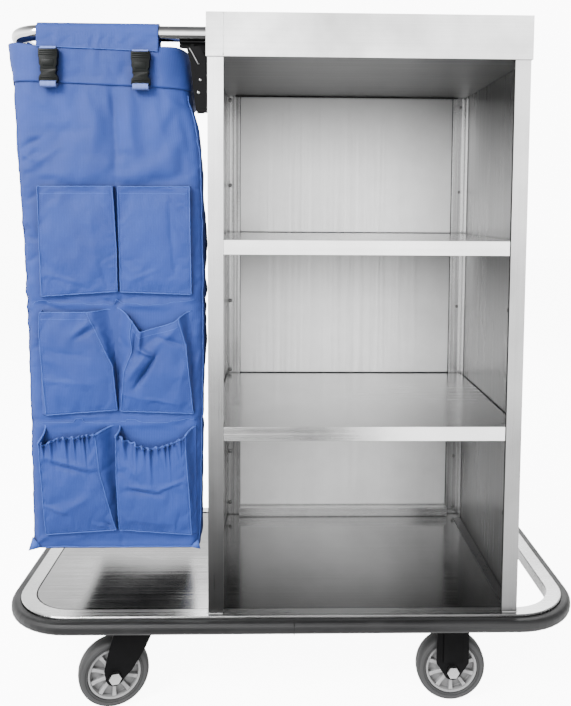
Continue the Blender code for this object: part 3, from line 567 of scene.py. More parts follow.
def make_rivets():
    left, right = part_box("post_rear_left"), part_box("post_rear_right")
    y = left[1].y - 0.0018
    shapes = []
    for z in (1.136, 0.945, 0.682, 0.522, 0.330, 0.208):
        shapes.append(dome((left[0].x + 0.0080, y, z), (0, -1, 0), 0.0045, 0.0020))
        shapes.append(dome((right[1].x - 0.0130, y, z - 0.012), (0, -1, 0), 0.0036, 0.0016))
    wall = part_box("side_panel_right")[1].x - 0.0015
    shapes += [dome((wall, -0.1430, z), (-1, 0, 0), 0.0045, 0.0020) for z in (1.094, 0.708, 0.324)]
    # the heads in dark steel, with painted shade round them
    make("cabinet_rivets", join(shapes), "rivet", *SHEET, sharp=50)


def make_bracket_details():
    """The screws of the hoop's wall leaves, and the side plates of the locking links with their spring wire."""
    screws, plates = [], []
    for end, s in (("front", -1), ("rear", 1)):
        lo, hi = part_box("bracket_leaf_" + end)
        y = lo.y if s < 0 else hi.y
        for z in (1.0680, 1.0940):
            screws.append(dome((hi.x - 0.0030, (lo.y + hi.y) / 2, z), (-1, 0, 0), 0.0036, 0.0022))
        for x, z, r in ((-0.1630, 1.1070, 0.0024), (-0.1660, 1.0860, 0.0026)):
            screws.append(dome((x, y + s * 0.0014, z), (0, s, 0), r, 0.0014))
        screws.append(tube([(a * MM, y + s * 0.0020, b * MM) for a, b in WIRE], 0.0008))
        plates.append(prism([(a * MM, b * MM) for a, b in PLATE], *sorted((y + s * 0.0002, y + s * 0.0014))))
    make("bracket_screws", join(screws), "zinc", "cart", "zinc", sharp=50)
    make("bracket_plates", join(plates), "paint", "cart", "black_paint", smooth=False)


def make_welds():
    """The beads where the front posts stand on the frame."""
    shapes = []
    for node in ("post_front_left", "post_front_right"):
        lo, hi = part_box(node)
        across = np.linspace(lo.x + 0.001, hi.x - 0.001, 24)
        shapes.append(tube([(x, lo.y - 0.0002 + 0.0004 * sin(x * 3000), lo.z + 0.0004) for x in across], 0.0013))
    make("post_welds", join(shapes), "zinc", *SHEET)


def make_gaps():
    """The dark open joints between sheets, as thin strips standing in them, partly real joints and partly painted
    shadow along edges, and the apron's seam.
    """
    x0, x1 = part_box("post_rear_left")[1].x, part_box("post_rear_right")[0].x
    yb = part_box("back_panel")[0].y
    shapes = [box(x0, x1, yb - 0.0012, yb - 0.0002, z - 0.0001, z + 0.0016) for z in (0.8386, 0.5143)]
    shapes.append(box(x0 - 0.010, x1 + 0.010, yb - 0.0042, yb - 0.0028, 1.1436, 1.1463))
    # painted shadow along the rear posts' edges on the back panel
    shapes += [box(x, x + 0.0010, yb - 0.0010, yb - 0.0002, 0.205, 1.143) for x in (x0 + 0.0002, x1 - 0.0012)]
    shapes.append(box(-0.0006, 0.0006, -0.2612, -0.2448, 0.1545, 0.1745))  # the bumper's joint
    shapes.append(box(-0.1515, -0.1246, -0.2358, -0.2350, 1.1459, 1.1467))  # under the tray's left end
    p0, p1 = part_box("post_front_right")
    # painted shadow along the right front post's left edge
    shapes.append(box(p0.x - 0.0016, p0.x - 0.0002, p0.y + 0.0002, p0.y + 0.0030, p0.z + 0.0005, p1.z - 0.0005))
    make("cabinet_gaps", join(shapes), "gap", *SHEET, smooth=False)
    t0, t1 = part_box("tray_end_left")
    seam = [(t1.x, -0.2368, z) for z in np.linspace(t0.z + 0.0015, t1.z - 0.001, 12)]
    make("tray_seam", tube(seam, 0.0008), "apron", *SHEET)
    lo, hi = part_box("deck_sheet")
    r, out, z = 0.082, 0.0004, 0.1786
    path = [(hi.x, lo.y - out)]
    path += arc(lo.x + r, lo.y + r, r + out, 270, 180, 10) + arc(lo.x + r, hi.y - r, r + out, 180, 90, 10)
    path.append((hi.x, hi.y + out))
    make("deck_gap", tube([(x, y, z) for x, y in path], 0.0009), "gap", *SHEET)


# ---- cloth
HELD = ("cart", "bag_cloth")
EDGE = ("edge", *HELD)
SEAMS_Z = (0.733, 0.528)  # the two cross seams between the rows of pockets
BAND_Z = 1.0935  # the lower edge of the doubled band round the mouth
POCKET_SEED, SEED_STEP = 78.3, 1.4
# sections of the hanging bag in mm: height, left, right, front, rear, corner radius
BAG = MM * np.array([
    (1160, -492.5, -187.5, -236, 212, 55), (1120, -486, -184, -236.5, 212.5, 45),
    (1075, -480, -178, -238, 213, 34), (1045, -477, -169.5, -239, 213, 28),
    (960, -472.5, -159, -241, 214, 25), (820, -464, -156, -242.5, 215, 24),
    (670, -459, -156, -243.5, 215, 22), (340, -455, -161, -243.5, 215, 22), (302, -458, -166, -240, 212, 18)])[::-1]
# the bag's creases in mm: start x z, end x z, height (below 0 is a valley) and half-width
BAG_FOLDS = [
    (-310, 1088, -306, 1020, -4.2, 10), (-306, 1030, -303, 936, -3.4, 13), (-330, 1085, -345, 960, 2, 22),
    (-285, 1080, -268, 955, 2.4, 24), (-200, 1085, -176, 960, -3, 16), (-240, 1060, -205, 960, 1.6, 20),
    (-455, 1085, -410, 1055, 1.6, 10), (-462, 992, -425, 1010, -2.2, 5), (-462, 980, -430, 968, 2.2, 5),
    (-460, 968, -436, 985, -1.8, 4), (-458, 950, -400, 990, 1.5, 8), (-455, 900, -438, 915, -1.8, 5),
    (-455, 868, -436, 850, 1.8, 5), (-454, 845, -436, 835, -1.8, 4), (-453, 800, -436, 812, -1.6, 5),
    (-420, 736, -330, 733, -2.2, 4), (-445, 734, -395, 718, -2, 5), (-410, 728, -320, 740, 1.8, 6),
    (-340, 740, -300, 729, -2, 4), (-296, 744, -305, 722, -2.6, 4), (-300, 733, -270, 742, -1.8, 4),
    (-290, 730, -230, 725, 1.8, 7), (-452, 676, -430, 668, 1.8, 4), (-452, 650, -432, 660, -1.8, 4),
    (-451, 530, -304, 529, -1.4, 3), (-440, 518, -330, 535, 1.4, 6), (-290, 520, -200, 528, 2, 10),
    (-300, 510, -240, 495, -2, 10), (-448, 312, -425, 327, 2.2, 3), (-300, 327, -300, 305, -1.2, 3),
    (-168, 315, -180, 327, 2, 3), (-165, 860, -180, 800, -1.5, 6), (-160, 660, -176, 600, 1.5, 6)]
FLAP_FOLDS = [(-335, 1150, -328, 1185, 1.6, 4), (-345, 1155, -340, 1180, -1.2, 4), (-290, 1160, -300, 1190, 0.8, 10),
              (-400, 1160, -395, 1190, 0.8, 10)]


def rounded(at, places, values, reach=0.012, steps=3):
    """The height of a line through points, with its corners rounded off."""
    return float(np.mean([np.interp(at + d, places, values) for d in np.linspace(-reach, reach, steps)]))


def bag_section(z):
    return [rounded(z, BAG[:, 0], BAG[:, k], 0.014, 5) for k in range(1, 6)]


def bag_front(z):
    return rounded(z, BAG[:, 0], BAG[:, 3], 0.014, 5)


def band_edge(x):
    """The band's lower edge on the front, which falls a little to the right."""
    return 1.0990 - 0.0110 * (x + 0.455) / 0.281


def bag_loop(z, across, turn, along):
    """The bag's outline at height z, from front left: points across each face, round each corner and along
    each side. Below the hoop the sides are drawn in towards the back."""
    x0, x1, y0, y1, r = bag_section(z)
    low = ease((1.148 - z) / 0.075)
    corners = [arc(cx, cy, r, start, start + 90, turn) for cx, cy, start in (
        (x1 - r, y0 + r, -90), (x1 - r, y1 - r, 0), (x0 + r, y1 - r, 90), (x0 + r, y0 + r, 180))]
    points = []
    for k, n in enumerate((across, along, across, along)):
        (xa, ya), (xb, yb) = corners[k - 1][-1], corners[k][0]
        points += [(xa + (xb - xa) * i / n, ya + (yb - ya) * i / n) for i in range(n)] + corners[k][:-1]
    loop = []
    for x, y in points:
        t = ease((y - y0 - 0.012) / 0.210) * low
        loop.append((x0 + 0.022 * t + (x - x0) * (x1 - x0 - 0.086 * t) / (x1 - x0), y))
    return loop


def coords_of(ob):
    co = np.empty(len(ob.data.vertices) * 3)
    ob.data.vertices.foreach_get("co", co)
    return co.reshape(-1, 3)


def set_coords(ob, co):
    ob.data.vertices.foreach_set("co", np.ascontiguousarray(co, float).ravel())
    ob.data.update()


def settle(ob, pin, cap, grow, bend=0.4, pressure=0.0, gravity=0.0):
    """Runs the cloth for a few frames, with every point held back to within cap of where it started."""
    frames = 20
    before, level = coords_of(ob), np.round(pin, 1)
    held = ob.vertex_groups.new(name="held")
    for weight in sorted(set(level[level > 0].tolist())):
        held.add(np.nonzero(level == weight)[0].tolist(), weight, "REPLACE")
    md = ob.modifiers.new("cloth", "CLOTH")
    s = md.settings
    s.quality, s.mass, s.air_damping = 5, 0.25, 2.0
    s.tension_stiffness = s.compression_stiffness = 18.0
    s.shear_stiffness, s.bending_stiffness = 9.0, bend
    s.vertex_group_mass, s.pin_stiffness = "held", 1.0
    s.shrink_min = -grow
    s.use_pressure, s.uniform_pressure_force = pressure != 0, pressure
    s.effector_weights.gravity = gravity
    md.collision_settings.use_collision = False
    md.point_cache.frame_start, md.point_cache.frame_end = 1, frames + 1
    for frame_number in range(1, frames + 1):
        SCN.frame_set(frame_number)
    done = ob.evaluated_get(bpy.context.evaluated_depsgraph_get())
    after = np.empty(before.size)
    done.data.vertices.foreach_get("co", after)
    ob.modifiers.clear()
    ob.vertex_groups.clear()
    SCN.frame_set(1)
    move = np.nan_to_num(after.reshape(-1, 3) - before)
    size = np.linalg.norm(move, axis=1, keepdims=True)
    set_coords(ob, before + move * np.tanh(size / cap) * cap / np.maximum(size, 1e-9))


def subdivide(ob):
    modifier(ob, "SUBSURF", levels=1, render_levels=1)
    apply_all(ob)


def finish_cloth(ob, node, thickness, offset, **facts):
    modifier(ob, "SOLIDIFY", thickness=thickness, offset=offset)
    own(apply_all(ob), *HELD, node)


def creases(x, z, folds):
    """Height of a set of folds, given as in BAG_FOLDS."""
    height = np.zeros_like(x)
    for fold in folds:
        xa, za, xb, zb, rise, width = (v * MM for v in fold)
        dx, dz = xb - xa, zb - za
        t = np.clip(((x - xa) * dx + (z - za) * dz) / (dx * dx + dz * dz), 0, 1)
        away = np.hypot(x - xa - dx * t, z - za - dz * t)
        fade = 0.35 + 0.65 * np.sin(np.pi * np.clip(t, 0.04, 0.96))
        height += rise * np.exp(-(away / (0.70 * width)) ** 1.25) * fade
    return height


def ripple(x, z, sx, sz, seed):
    return np.array([noise.noise(Vector((a * sx, b * sz, seed))) for a, b in zip(x, z)])


def bell(v, centre, width):
    return np.exp(-((v - centre) / width) ** 2)


def between(v, low, high, rise, fall):
    """1 between low and high, fading to 0 at both."""
    return np.clip((high - v) / fall, 0, 1) * np.clip((v - low) / rise, 0, 1)


def surface_tree(ob):
    bm = bmesh.new()
    bm.from_mesh(ob.data)
    tree = BVHTree.FromBMesh(bm)
    bm.free()
    return tree


def stitches(line, cloth_ob, step=0.0034, length=0.0022):
    """Short raised threads along a line, lying on the cloth."""
    tree = surface_tree(cloth_ob)
    line = np.array(line)
    run = np.concatenate([[0], np.cumsum(np.linalg.norm(np.diff(line, axis=0), axis=1))])
    threads, at = [], step
    while at < run[-1] - step:
        path = []
        for k in range(3):
            near = Vector([np.interp(at + length * k / 2, run, line[:, axis]) for axis in range(3)])
            hit, normal, _, _ = tree.find_nearest(near)
            path.append(hit + (-normal if normal.y > 0 else normal) * (0.0006 if k == 1 else 0.0003))
        threads.append(tube(path, 0.00032, 5))
        at += step
    return threads


# ---- the bag
def bag_shape(heights, counts):
    points = []
    for z in heights:
        tilt = max(0.0, 1 - abs(z - BAND_Z) / 0.075)
        top = clamp((z - 1.120) / 0.040)
        for x, y in bag_loop(z, *counts):
            slope = (band_edge(x) - BAND_Z) * tilt if y < -0.20 else 0.0
            dip = 0.0
            if x > -0.24:
                dip = 0.003 * bell(x, -0.205, 0.020) - 0.010 * clamp((x + 0.198) / 0.022)
            elif x < -0.44 and y < -0.10:
                lift = min(1.0, (-0.44 - x) / 0.035)
                dip = 0.0075 * lift
                x -= 0.0035 * lift * top
            # the bottom's rear edge hangs at its corners and rises between them
            hang = clamp((0.350 - z) / 0.048) * clamp((y + 0.02) / 0.20)
            hang *= 0.010 - 0.020 * min(1.0, abs(x + 0.308) / 0.145)
            points.append((x, y, z + slope + hang + dip * top))
    cols = len(points) // len(heights)
    faces = grid_faces(len(heights), cols, True)
    # the bottom: loops that shrink to the middle
    low = np.array(points[:cols])
    centre = low.mean(0)
    before = list(range(cols))
    for share in (0.985, 0.95, 0.85, 0.68, 0.48, 0.28, 0.10):
        now = [len(points) + i for i in range(cols)]
        points += [tuple(centre + (p - centre) * (share, share, 1) - (0, 0, 0.001 * (1 - share))) for p in low]
        faces += [(now[i], now[(i + 1) % cols], before[(i + 1) % cols], before[i]) for i in range(cols)]
        before = now
    return points, faces + [tuple(reversed(before))]


def bag_pins(x, y, z):
    """How firmly the cloth is held: mouth and bottom fully, then pockets, seams and corners."""
    pin = np.zeros(len(x))
    pin[(z > 1.150) | (z < 0.310)] = 1
    front = (y < bag_front(0.6) + 0.02) & (x > -0.437) & (x < -0.173)
    for low, high in ((0.738, 0.930), (0.540, 0.722), (0.326, 0.515)):
        pin[front & (z > low) & (z < high)] = 0.9
    for seam in SEAMS_Z:
        pin[(np.abs(z - seam) < 0.004) & (pin < 0.5)] = 0.5
    pin[(np.abs(z - band_edge(x)) < 0.006) & (pin < 0.6)] = 0.6
    for cx in (-0.455, -0.158):
        for cy in (-0.2435, 0.215):
            pin[(np.hypot(x - cx, y - cy) < 0.030) & (pin < 0.5)] = 0.5
    pin[(z > 1.02) & (z < 1.15) & (pin == 0)] = 0.1
    return pin


def crumple_bag(co):
    """Folds, small ripples, crumpled edges and puckered seams; less of them behind the pockets."""
    x, y, z = co.T
    front = np.clip((-0.205 - y) / 0.025, 0, 1)
    pocket = np.zeros(len(co), bool)
    for low, high in ((0.744, 0.927), (0.543, 0.716), (0.331, 0.512)):
        pocket |= (x > -0.434) & (x < -0.177) & (z > low) & (z < high)
    relief = creases(x, z, BAG_FOLDS) * 1.7
    relief += ripple(x, z, 34, 26, 3.1) * 0.0012 + ripple(x, z, 90, 60, 8.2) * 0.0004
    edge = (bell(x, -0.460, 0.014) + bell(x, -0.166, 0.012)) * between(z, 0.34, 1.02, 0.05, 0.05)
    relief += ripple(x, z, 40, 95, 5.5) * 0.0035 * edge
    y -= front * relief * (1 - 0.85 * pocket)
    side = (np.minimum(abs(x + 0.46), abs(x + 0.16)) < 0.03) * (1 - front)
    wave = ripple(y, z, 12, 16, 1.7) * 0.004 + ripple(y, z, 34, 40, 6.7) * 0.0014
    x += np.where(x < -0.31, -1, 1) * wave * side * between(z, 0.31, 1.14, 0.03, 0.05)
    for seam in SEAMS_Z:
        at_side = np.minimum(abs(x + 0.460), abs(x + 0.158)) < 0.03
        x += np.where(x < -0.31, 1, -1) * bell(z, seam, 0.006) * 0.0022 * at_side
    return co


def make_bag():
    heights = np.linspace(0.302, 1.160, 122).tolist()
    bag = make("bag_body_cloth", bag_shape(heights, ((36, 5, 54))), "cloth", closed=False)
    settle(bag, bag_pins(*coords_of(bag).T), 0.0075, 0.016, pressure=0.35, gravity=0.15)
    subdivide(bag)
    set_coords(bag, crumple_bag(coords_of(bag)))
    # the bottom's faces take the near-black cloth as painted shade
    bag.data.materials.append(MAT["base"])
    for face in bag.data.polygons:
        if face.center.z < 0.320 and abs(face.normal.z) > 0.7:
            face.material_index = 1
    sewn = [make_band(bag), make_bag_seams(bag)]
    finish_cloth(bag, "bag_body", 0.0013, -1, flat=(1.50, 1.03), held="hung", area=1.40, with_pieces=sewn,
                 rests_on=["bag_flap_front_cloth", "bag_flap_rear_cloth"])


def make_band(bag):
    """The doubled hem round the bag's mouth: the bag's upper rows again, standing out by one more layer."""
    bm = bmesh.new()
    bm.from_mesh(bag.data)
    bm.normal_update()
    below = [v for v in bm.verts if v.co.z < (band_edge(v.co.x) if v.co.y < -0.2 else BAND_Z) - 0.0005]
    bmesh.ops.delete(bm, geom=below, context="VERTS")
    for v in bm.verts:
        v.co += v.normal * 0.0008
    mesh = bpy.data.meshes.new("bag_top_band")
    bm.to_mesh(mesh)
    bm.free()
    mesh.materials.clear()
    mesh.materials.append(MAT["cloth"])
    band = link("bag_top_band", mesh)
    modifier(band, "SOLIDIFY", thickness=0.0013, offset=1)
    return own(apply_all(band), *HELD)


def make_bag_seams(bag):
    """The sewn edges: front corners, two cross seams, bottom edge, and a loose end of seam at each corner."""
    tree = surface_tree(bag)

    def on_bag(point, out):
        hit, normal, _, _ = tree.find_nearest(Vector(point))
        return hit + (normal if (Vector(point) - hit).dot(normal) >= 0 else -normal) * out

    shapes, turn = [], radians(28)
    for way in (-1, 1):
        path = []
        for z in np.linspace(0.306, 1.085, 170):
            x0, x1, y0, _, r = bag_section(z)
            x = (x0 + r if way < 0 else x1 - r) + way * (r * cos(turn) + 0.010)
            path.append(on_bag((x, y0 + r - r * sin(turn) - 0.008, z), 0.0004))
        shapes.append(tube(path, 0.0010))
    for z in SEAMS_Z:
        x0, x1 = bag_section(z)[:2]
        shapes.append(tube([on_bag((x, bag_front(z) - 0.012, z + 0.0016 * sin(x * 60)), -0.0001)
                            for x in np.linspace(x0 + 0.008, x1 - 0.008, 130)], 0.0006, 6))
    x0, x1 = bag_section(0.303)[:2]
    y = bag_front(0.303)
    shapes.append(tube([on_bag((x, y - 0.010, 0.3035 + 0.0010 * sin(x * 90)), 0.0004)
                        for x in np.linspace(x0 + 0.004, x1 - 0.004, 110)], 0.0011))
    for tip in (((x0 - 0.0035, y - 0.0010, 0.2985), (x0 + 0.020, y - 0.0016, 0.3050), (x0 + 0.004, y - 0.0006, 0.3230)),
                ((x1 + 0.0015, y - 0.001, 0.3010), (x1 - 0.016, y - 0.0014, 0.3045), (x1 - 0.003, y, 0.3170))):
        back = [(a, b + 0.0018, c) for a, b, c in tip]
        shapes.append((list(tip) + back, [(0, 1, 2), (5, 4, 3), (0, 3, 4, 1), (1, 4, 5, 2), (2, 5, 3, 0)]))
    return make("bag_seams", join(shapes), *EDGE)


# ---- pockets
# In mm. left, right and top are lines through (share of the height or width, place); bottom, back and
# back_top are the left and right ends where the pocket is sewn on; it stands out by low to depth.
POCKETS = {
    "pocket_r1_left": dict(
        bottom=(742, 751), back=(-434, -301.5), back_top=(928.5, 928.5), depth=10, low=4.5,
        left=[(0, -429), (1, -433)], right=[(0, -301.5), (0.4, -301.5), (0.88, -306), (1, -307.5)],
        top=[(0, 926.5), (1, 927.5)],
        folds=[(-330, 800, -318, 758, -1.6, 6), (-345, 880, -335, 790, 1.2, 12),
        (-420, 780, -360, 765, 0.8, 10)]),
    "pocket_r1_right": dict(
        bottom=(750, 746), back=(-300, -177.5), back_top=(928, 930), depth=10, low=4.5,
        left=[(0, -296.5), (0.5, -298), (1, -300)], right=[(0, -177), (1, -179)], top=[(0, 927), (1, 927.5)],
        folds=[(-215, 900, -205, 780, -1, 10), (-280, 770, -230, 790, 1, 12)]),
    "pocket_r2_left": dict(
        bottom=(539, 548), back=(-434, -305.5), back_top=(718, 721), depth=15, low=5,
        left=[(0, -424), (0.8, -432), (1, -430)], right=[(0, -303), (0.46, -309), (1, -352)],
        top=[(0, 716.5), (1, 716.5)],
        folds=[(-372, 672, -340, 690, -2.8, 6), (-375, 680, -345, 700, 2, 8),
        (-322, 652, -312, 640, 1.8, 4), (-425, 600, -350, 595, 1.4, 16), (-410, 650, -340, 640, -1.2, 14)]),
    "pocket_r2_right": dict(
        bottom=(546, 542), back=(-305, -176.5), back_top=(724, 719), depth=16.5, low=5,
        left=[(0, -298), (0.45, -290), (0.68, -276), (0.85, -280), (1, -276)],
        right=[(0, -174), (0.72, -185), (1, -198.5)],
        top=[(0, 703), (0.1, 690), (0.18, 683), (0.4, 688.5), (0.75, 696), (0.92, 701), (1, 706)],
        folds=[(-236, 645, -272, 588, -5.5, 5.5), (-250, 650, -285, 600, 3, 9),
        (-262, 688, -264, 652, 5, 4.5), (-264, 655, -240, 644, 4.5, 4.5), (-270, 680, -274, 640, -3.5, 4),
        (-190, 662, -235, 676, -2.6, 5), (-200, 690, -230, 665, 2, 8), (-185, 640, -200, 570, 1.6, 12),
        (-290, 575, -200, 560, 1.6, 14)]),
    "pocket_r3_left": dict(
        bottom=(330, 338), back=(-428, -304), back_top=(522, 523), depth=19, low=5, gather=True,
        left=[(0, -428), (0.45, -430), (1, -434.5)],
        right=[(0, -307), (0.25, -318), (0.62, -333), (1, -339)],
        top=[(0, 495), (0.12, 491), (0.28, 501), (0.45, 504), (0.62, 503), (0.85, 508), (1, 509)],
        folds=[(-420, 470, -345, 450, 2.4, 6), (-420, 460, -350, 442, -1.8, 7),
        (-425, 385, -390, 372, 2.2, 4), (-395, 375, -350, 400, 1.4, 10), (-325, 352, -315, 345, -3, 3),
        (-345, 350, -320, 345, 2, 4)]),
    "pocket_r3_right": dict(
        bottom=(338, 329), back=(-302, -170), back_top=(522, 520), depth=19.5, low=5, gather=True,
        left=[(0, -302), (0.6, -304.5), (1, -304)], right=[(0, -178), (0.45, -181), (1, -188)],
        top=[(0, 508), (0.15, 500), (0.32, 489), (0.47, 484.5), (0.64, 487), (0.84, 495), (1, 504.5)],
        folds=[(-285, 412, -230, 405, -2.4, 6), (-285, 420, -240, 416, 2.2, 5),
        (-245, 408, -195, 428, 1.8, 6), (-280, 455, -265, 430, 1.4, 8), (-290, 360, -200, 350, 1, 14)]),
}
GUSSET = 7  # points across each side of a pocket


def gusset(q, side, v, x, out):
    """One row of a pocket's side, from the bag to the panel's edge."""
    bottom, top = q["bottom"][side] * MM, rounded(side, *zip(*q["top"])) * MM
    xb, zb = q["back"][side] * MM, bottom + (q["back_top"][side] * MM - bottom) * v
    z = bottom + (top - bottom) * v
    yb, y = bag_front(zb) + 0.0015, bag_front(z) - out
    row = []
    for k in range(GUSSET):
        t = k / GUSSET
        tuck = sin(pi * t) * 0.0035 * (-1 if side else 1) * v
        pleat = sin(2 * pi * t) * 0.0030 * v
        row.append((xb + (x - xb) * t + tuck, yb + (y - yb) * t + pleat, zb + (z - zb) * t))
    return row


def gathered(x, y, z, u, drop, phase):
    """Elastic at the mouth: uneven pleats that die out downwards."""
    turn = 2 * pi * (9.5 * u + 0.50 * sin(5.1 * u + phase) + 0.20 * sin(17 * u))
    fade = exp(-drop / (0.011 + 0.009 * sin(turn * 0.37 + 1.1 * phase)))
    return (x + 0.0014 * cos(turn) * fade,
            y - (0.0056 * sin(turn) + 0.0026 * sin(2.3 * turn + 1)) * fade,
            z + (0.0022 * sin(turn + 0.9) + 0.0012 * sin(2.7 * turn)) * exp(-drop / 0.007))


def pocket_row(q, v, cols, phase):
    """One row at the share v of the pocket's height: left gusset, panel and right gusset."""
    left, right = (rounded(v, *zip(*q[key])) * MM for key in ("left", "right"))
    out = (q["low"] + (q["depth"] - q["low"]) * sin(v ** 0.8 * pi / 2)) * MM
    panel = []
    for k in range(cols + 1):
        u = k / cols
        top = rounded(u, *zip(*q["top"])) * MM
        bottom = (q["bottom"][0] + (q["bottom"][1] - q["bottom"][0]) * u) * MM
        z = bottom + (top - bottom) * v
        belly = 0.0022 * sin(pi * u) * sin(pi * min(1, v * 1.05))
        point = (left + (right - left) * u, bag_front(z) - out - belly, z)
        panel.append(gathered(*point, u, top - z, phase) if "gather" in q else point)
    return gusset(q, 0, v, left, out) + panel + gusset(q, 1, v, right, out)[::-1]


def make_pocket(name, q, seed):
    gather = "gather" in q
    n, m = 36 * (2 if gather else 1), 46
    first, last = GUSSET, GUSSET + n  # the columns of the panel's two edges
    rows = [pocket_row(q, i / m, n, len(name)) for i in range(m + 1)]
    points = np.array(rows).reshape(-1, 3)
    x, y, z = points.T
    y -= np.where(y < -0.2475, creases(x, z, q["folds"]) * 1.9, 0)
    ob = make(name + "_cloth", (points, grid_faces(m + 1, len(rows[0]), False)), "cloth", closed=False)
    pin = np.zeros((m + 1, len(rows[0])))
    pin[0] = pin[:, 0] = pin[:, -1] = 1
    pin[-1] = pin[:, first] = pin[:, last] = 0.8
    settle(ob, pin.ravel(), 0.0022, 0.014, bend=0.2, pressure=0.2)
    co = coords_of(ob)
    x, y, z = co.T
    y -= np.where(y < -0.2478, ripple(x, z, 45, 38, seed) * 0.0014 + ripple(x, z, 120, 100, seed + 3) * 0.0004, 0)
    set_coords(ob, co)
    subdivide(ob)
    # piping on the panel's edges and the hem, with a second line of it where the mouth is plain
    grid = coords_of(ob)[:len(points)].reshape(m + 1, -1, 3)
    edges = [grid[:, first], grid[:, last], grid[0, first:last + 1]]
    piping = [(edges[0] + (0, -0.0007, 0), 0.0009), (edges[1] + (0, -0.0007, 0), 0.0009),
              (edges[2] + (0, -0.0011, 0.0006), 0.0010), (grid[-1] + (0, -0.0002, 0), 0.0017 if gather else 0.0011)]
    if not gather:
        piping.append((grid[int(m * 0.955), first + 1:last] + (0, -0.0003, 0), 0.0006))
    shapes = [tube([p + (0.0002 * sin(i * 2.1), 0, 0.0002 * cos(i * 1.7)) for i, p in enumerate(line)], r)
              for line, r in piping]
    for line, shift in zip(edges, ((0.0045, -0.0012, 0), (-0.0045, -0.0012, 0), (0, -0.0012, 0.0045))):
        shapes += stitches(line + shift, ob)
    hem = make(name + "_hem", join(shapes), *EDGE)
    width = (q["back"][1] - q["back"][0] + 45) // 1 * MM  # with 45 mm for the two gussets
    finish_cloth(ob, name, 0.0010, 0, flat=(width, 0.19), held="gathered" if gather else "hung",
                 rests_on=["bag_body_cloth"], with_pieces=[hem])


# ---- flaps that go over the hoop
def make_flap(name, yc, out):
    """out is -1 for the front tube and 1 for the rear one: the side the outer leaf hangs on."""
    n, x0, x1 = 56, -0.4340, -0.2325
    r, leaf = 0.0158, 14
    rows = []
    for i in range(n + 1):
        u = i / n
        foot = 1.1590 - 0.0065 * u if out < 0 else 1.1570
        row = [(yc + out * (r + (1 - k / leaf) ** 1.5 * 0.0012), foot + (HOOP_Z - foot) * k / leaf)
               for k in range(leaf)]
        row += [(yc + out * a, b) for a, b in arc(0, HOOP_Z, r, 0, 180, 16)]
        row += [(yc - out * r, HOOP_Z - 0.030 * k / 12) for k in range(1, 13)]
        rows.append([(x0 + (x1 - x0) * u, y, z) for y, z in row])
    cols = len(rows[0])
    ob = make(name + "_cloth", (sum(rows, []), grid_faces(n + 1, cols, False)), "cloth", closed=False)
    pin = np.zeros((n + 1, cols))
    pin[:, 12:32], pin[:, -1], pin[:, 0] = 0.9, 1, 0.5
    settle(ob, pin.ravel(), 0.0010, 0.012, bend=0.3)
    co = coords_of(ob)
    x, y, z = co.T
    outer = (np.abs(y - yc) > 0.010) & (np.sign(y - yc) == out) | (z > HOOP_Z + 0.004)
    relief = creases(x, z, FLAP_FOLDS) + np.maximum(0, ripple(x, z, 40, 30, 4.4)) * 0.0010
    y += out * np.where(outer, relief, 0)
    set_coords(ob, co)
    subdivide(ob)
    grid = coords_of(ob)[:(n + 1) * cols].reshape(n + 1, cols, 3)
    shapes = [tube(grid[:, 0] + (0, out * 0.00048, 0), 0.0009)]
    for line in (grid[:, 1] + (0, out * 0.001, 0.002), grid[1, 1:30] + (0.0035, out * 0.0008, 0),
                 grid[-2, 1:30] + (-0.0035, out * 0.0008, 0)):
        shapes += stitches(line, ob)
    hem = make(name + "_hem", join(shapes), *EDGE)
    finish_cloth(ob, name, 0.0015, 0, flat=(0.201, 0.106), held="hung", rests_on=["bag_hoop_tube"], with_pieces=[hem])


# ---- straps and buckles
BUCKLE_Y, WEB_HALF, WEB_TURN = -0.2475, 0.013, 0.0042
BUCKLES = {"left": (-0.4113, 1.1530, 0.0045), "right": (-0.2598, 1.1500, 0.0032)}  # middle, top, loop above it
# half outlines in mm, from the middle line and down from the buckle's top
SOCKET = [(15.2, 0), (15.8, -1), (15.8, -13.5), (14.8, -15.5), (14.8, -25), (12.8, -29), (12.8, -33)]
PLUG = [(-11.5, -32.5), (-13, -30), (-13.8, -31.8), (-13.5, -36), (-12, -38.5), (-12.2, -41), (-15.2, -45),
        (-15.8, -47), (-15.8, -52.5), (-14.6, -54.8)]


def make_web(part, side, xc, yc, zc, deep, tall, body):
    """A loop of webbing through a buckle's bar."""
    ring = []
    for sy, sz, start in ((1, 1, 0), (-1, 1, 90), (-1, -1, 180), (1, -1, 270)):
        ring += arc(yc + sy * (deep / 2 - WEB_TURN), zc + sz * (tall / 2 - WEB_TURN), WEB_TURN, start, start + 90, 6)
    cols = 10
    points = [(xc - WEB_HALF + 2 * WEB_HALF * i / cols + 0.0002 * sin(k * 0.9), y, z)
              for i in range(cols + 1) for k, (y, z) in enumerate(ring)]
    web = make("strap_%s_%s_web" % (part, side), (points, grid_faces(cols + 1, len(ring), True)), "web")
    modifier(web, "SOLIDIFY", thickness=0.0013, offset=-1)
    bevel(web, 0.0003, 2, 0.8)
    own(apply_all(web), body, "webbing", "strap_%s_%s" % (part, side))


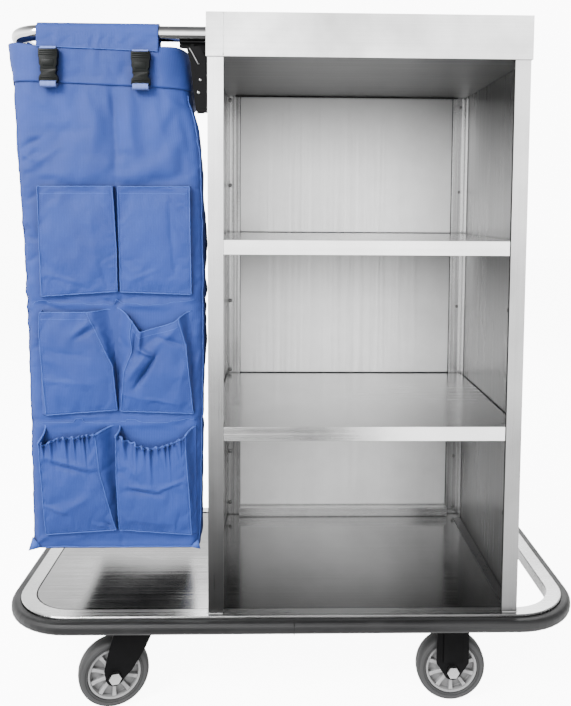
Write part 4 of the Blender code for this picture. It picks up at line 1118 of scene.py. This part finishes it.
def bevelled(shape, width, segments=2):
    """The shape with its edges rounded, as points and faces again."""
    ob = make("bevelled", shape, "buckle")
    bevel(ob, width, segments, 0.5)
    mesh = apply_all(ob).data
    bpy.data.objects.remove(ob)
    return [v.co.copy() for v in mesh.vertices], [tuple(face.vertices) for face in mesh.polygons]


def finish_buckle(node, shapes, body):
    make(node + "_body", join(shapes), "buckle", body, "buckle_plastic", node, 40)


def make_buckles():
    for side, (xc, top, over) in BUCKLES.items():
        body, y = "buckle_" + side, BUCKLE_Y
        make_web("upper", side, xc, y, top + over - 0.0055, 0.0086, 0.0110, "cart")
        make_web("lower", side, xc, y - 0.0014, top - 0.0576, 0.0108, 0.0106, body)

        def outline(points):
            return [(xc + a * MM, top + b * MM) for a, b in points]

        def both(half):
            return outline(half + [(-a, b) for a, b in reversed(half)])

        # socket: an outline with a waist, three ladder bars above and a raised plate below
        shapes = [bevelled(prism(both(SOCKET), y - 0.0048, y + 0.0048), 0.0011, 3)]
        shapes += [bevelled(prism(both([(-13.8, z - 0.9), (-13.8, z + 0.9)]), y - 0.0056, y - 0.0044), 0.0003)
                   for z in (-3.5, -6.8, -10.1)]
        shapes.append(bevelled(prism(both([(-8.5, -29), (-10, -18)]), y - 0.0053, y - 0.0044), 0.0003))
        finish_buckle("buckle_socket_" + side, shapes, "cart")
        # plug: flared arms that show in the notches, a body that widens downwards and bars for the webbing
        shapes = [bevelled(prism(both(PLUG), y - 0.0040, y + 0.0040), 0.0008)]
        shapes += [bevelled(prism(both([(-12.5, low), (-12.5, high)]), y - 0.0050, y - 0.0036), 0.0003)
                   for low, high in ((-52, -50), (-47.5, -46.2))]
        finish_buckle("buckle_plug_" + side, shapes, body)


# ---- build
make_camera()
make_stage()
make_materials()
finish_frame()
make_wheels()
make_hoop()
make_rivets()
make_bracket_details()
make_welds()
make_gaps()
make_flap("bag_flap_front", HOOP_FRONT, -1)
make_flap("bag_flap_rear", HOOP_REAR, 1)
make_buckles()
make_bag()
for number, (pocket, shape) in enumerate(POCKETS.items()):
    make_pocket(pocket, shape, POCKET_SEED + SEED_STEP * number)
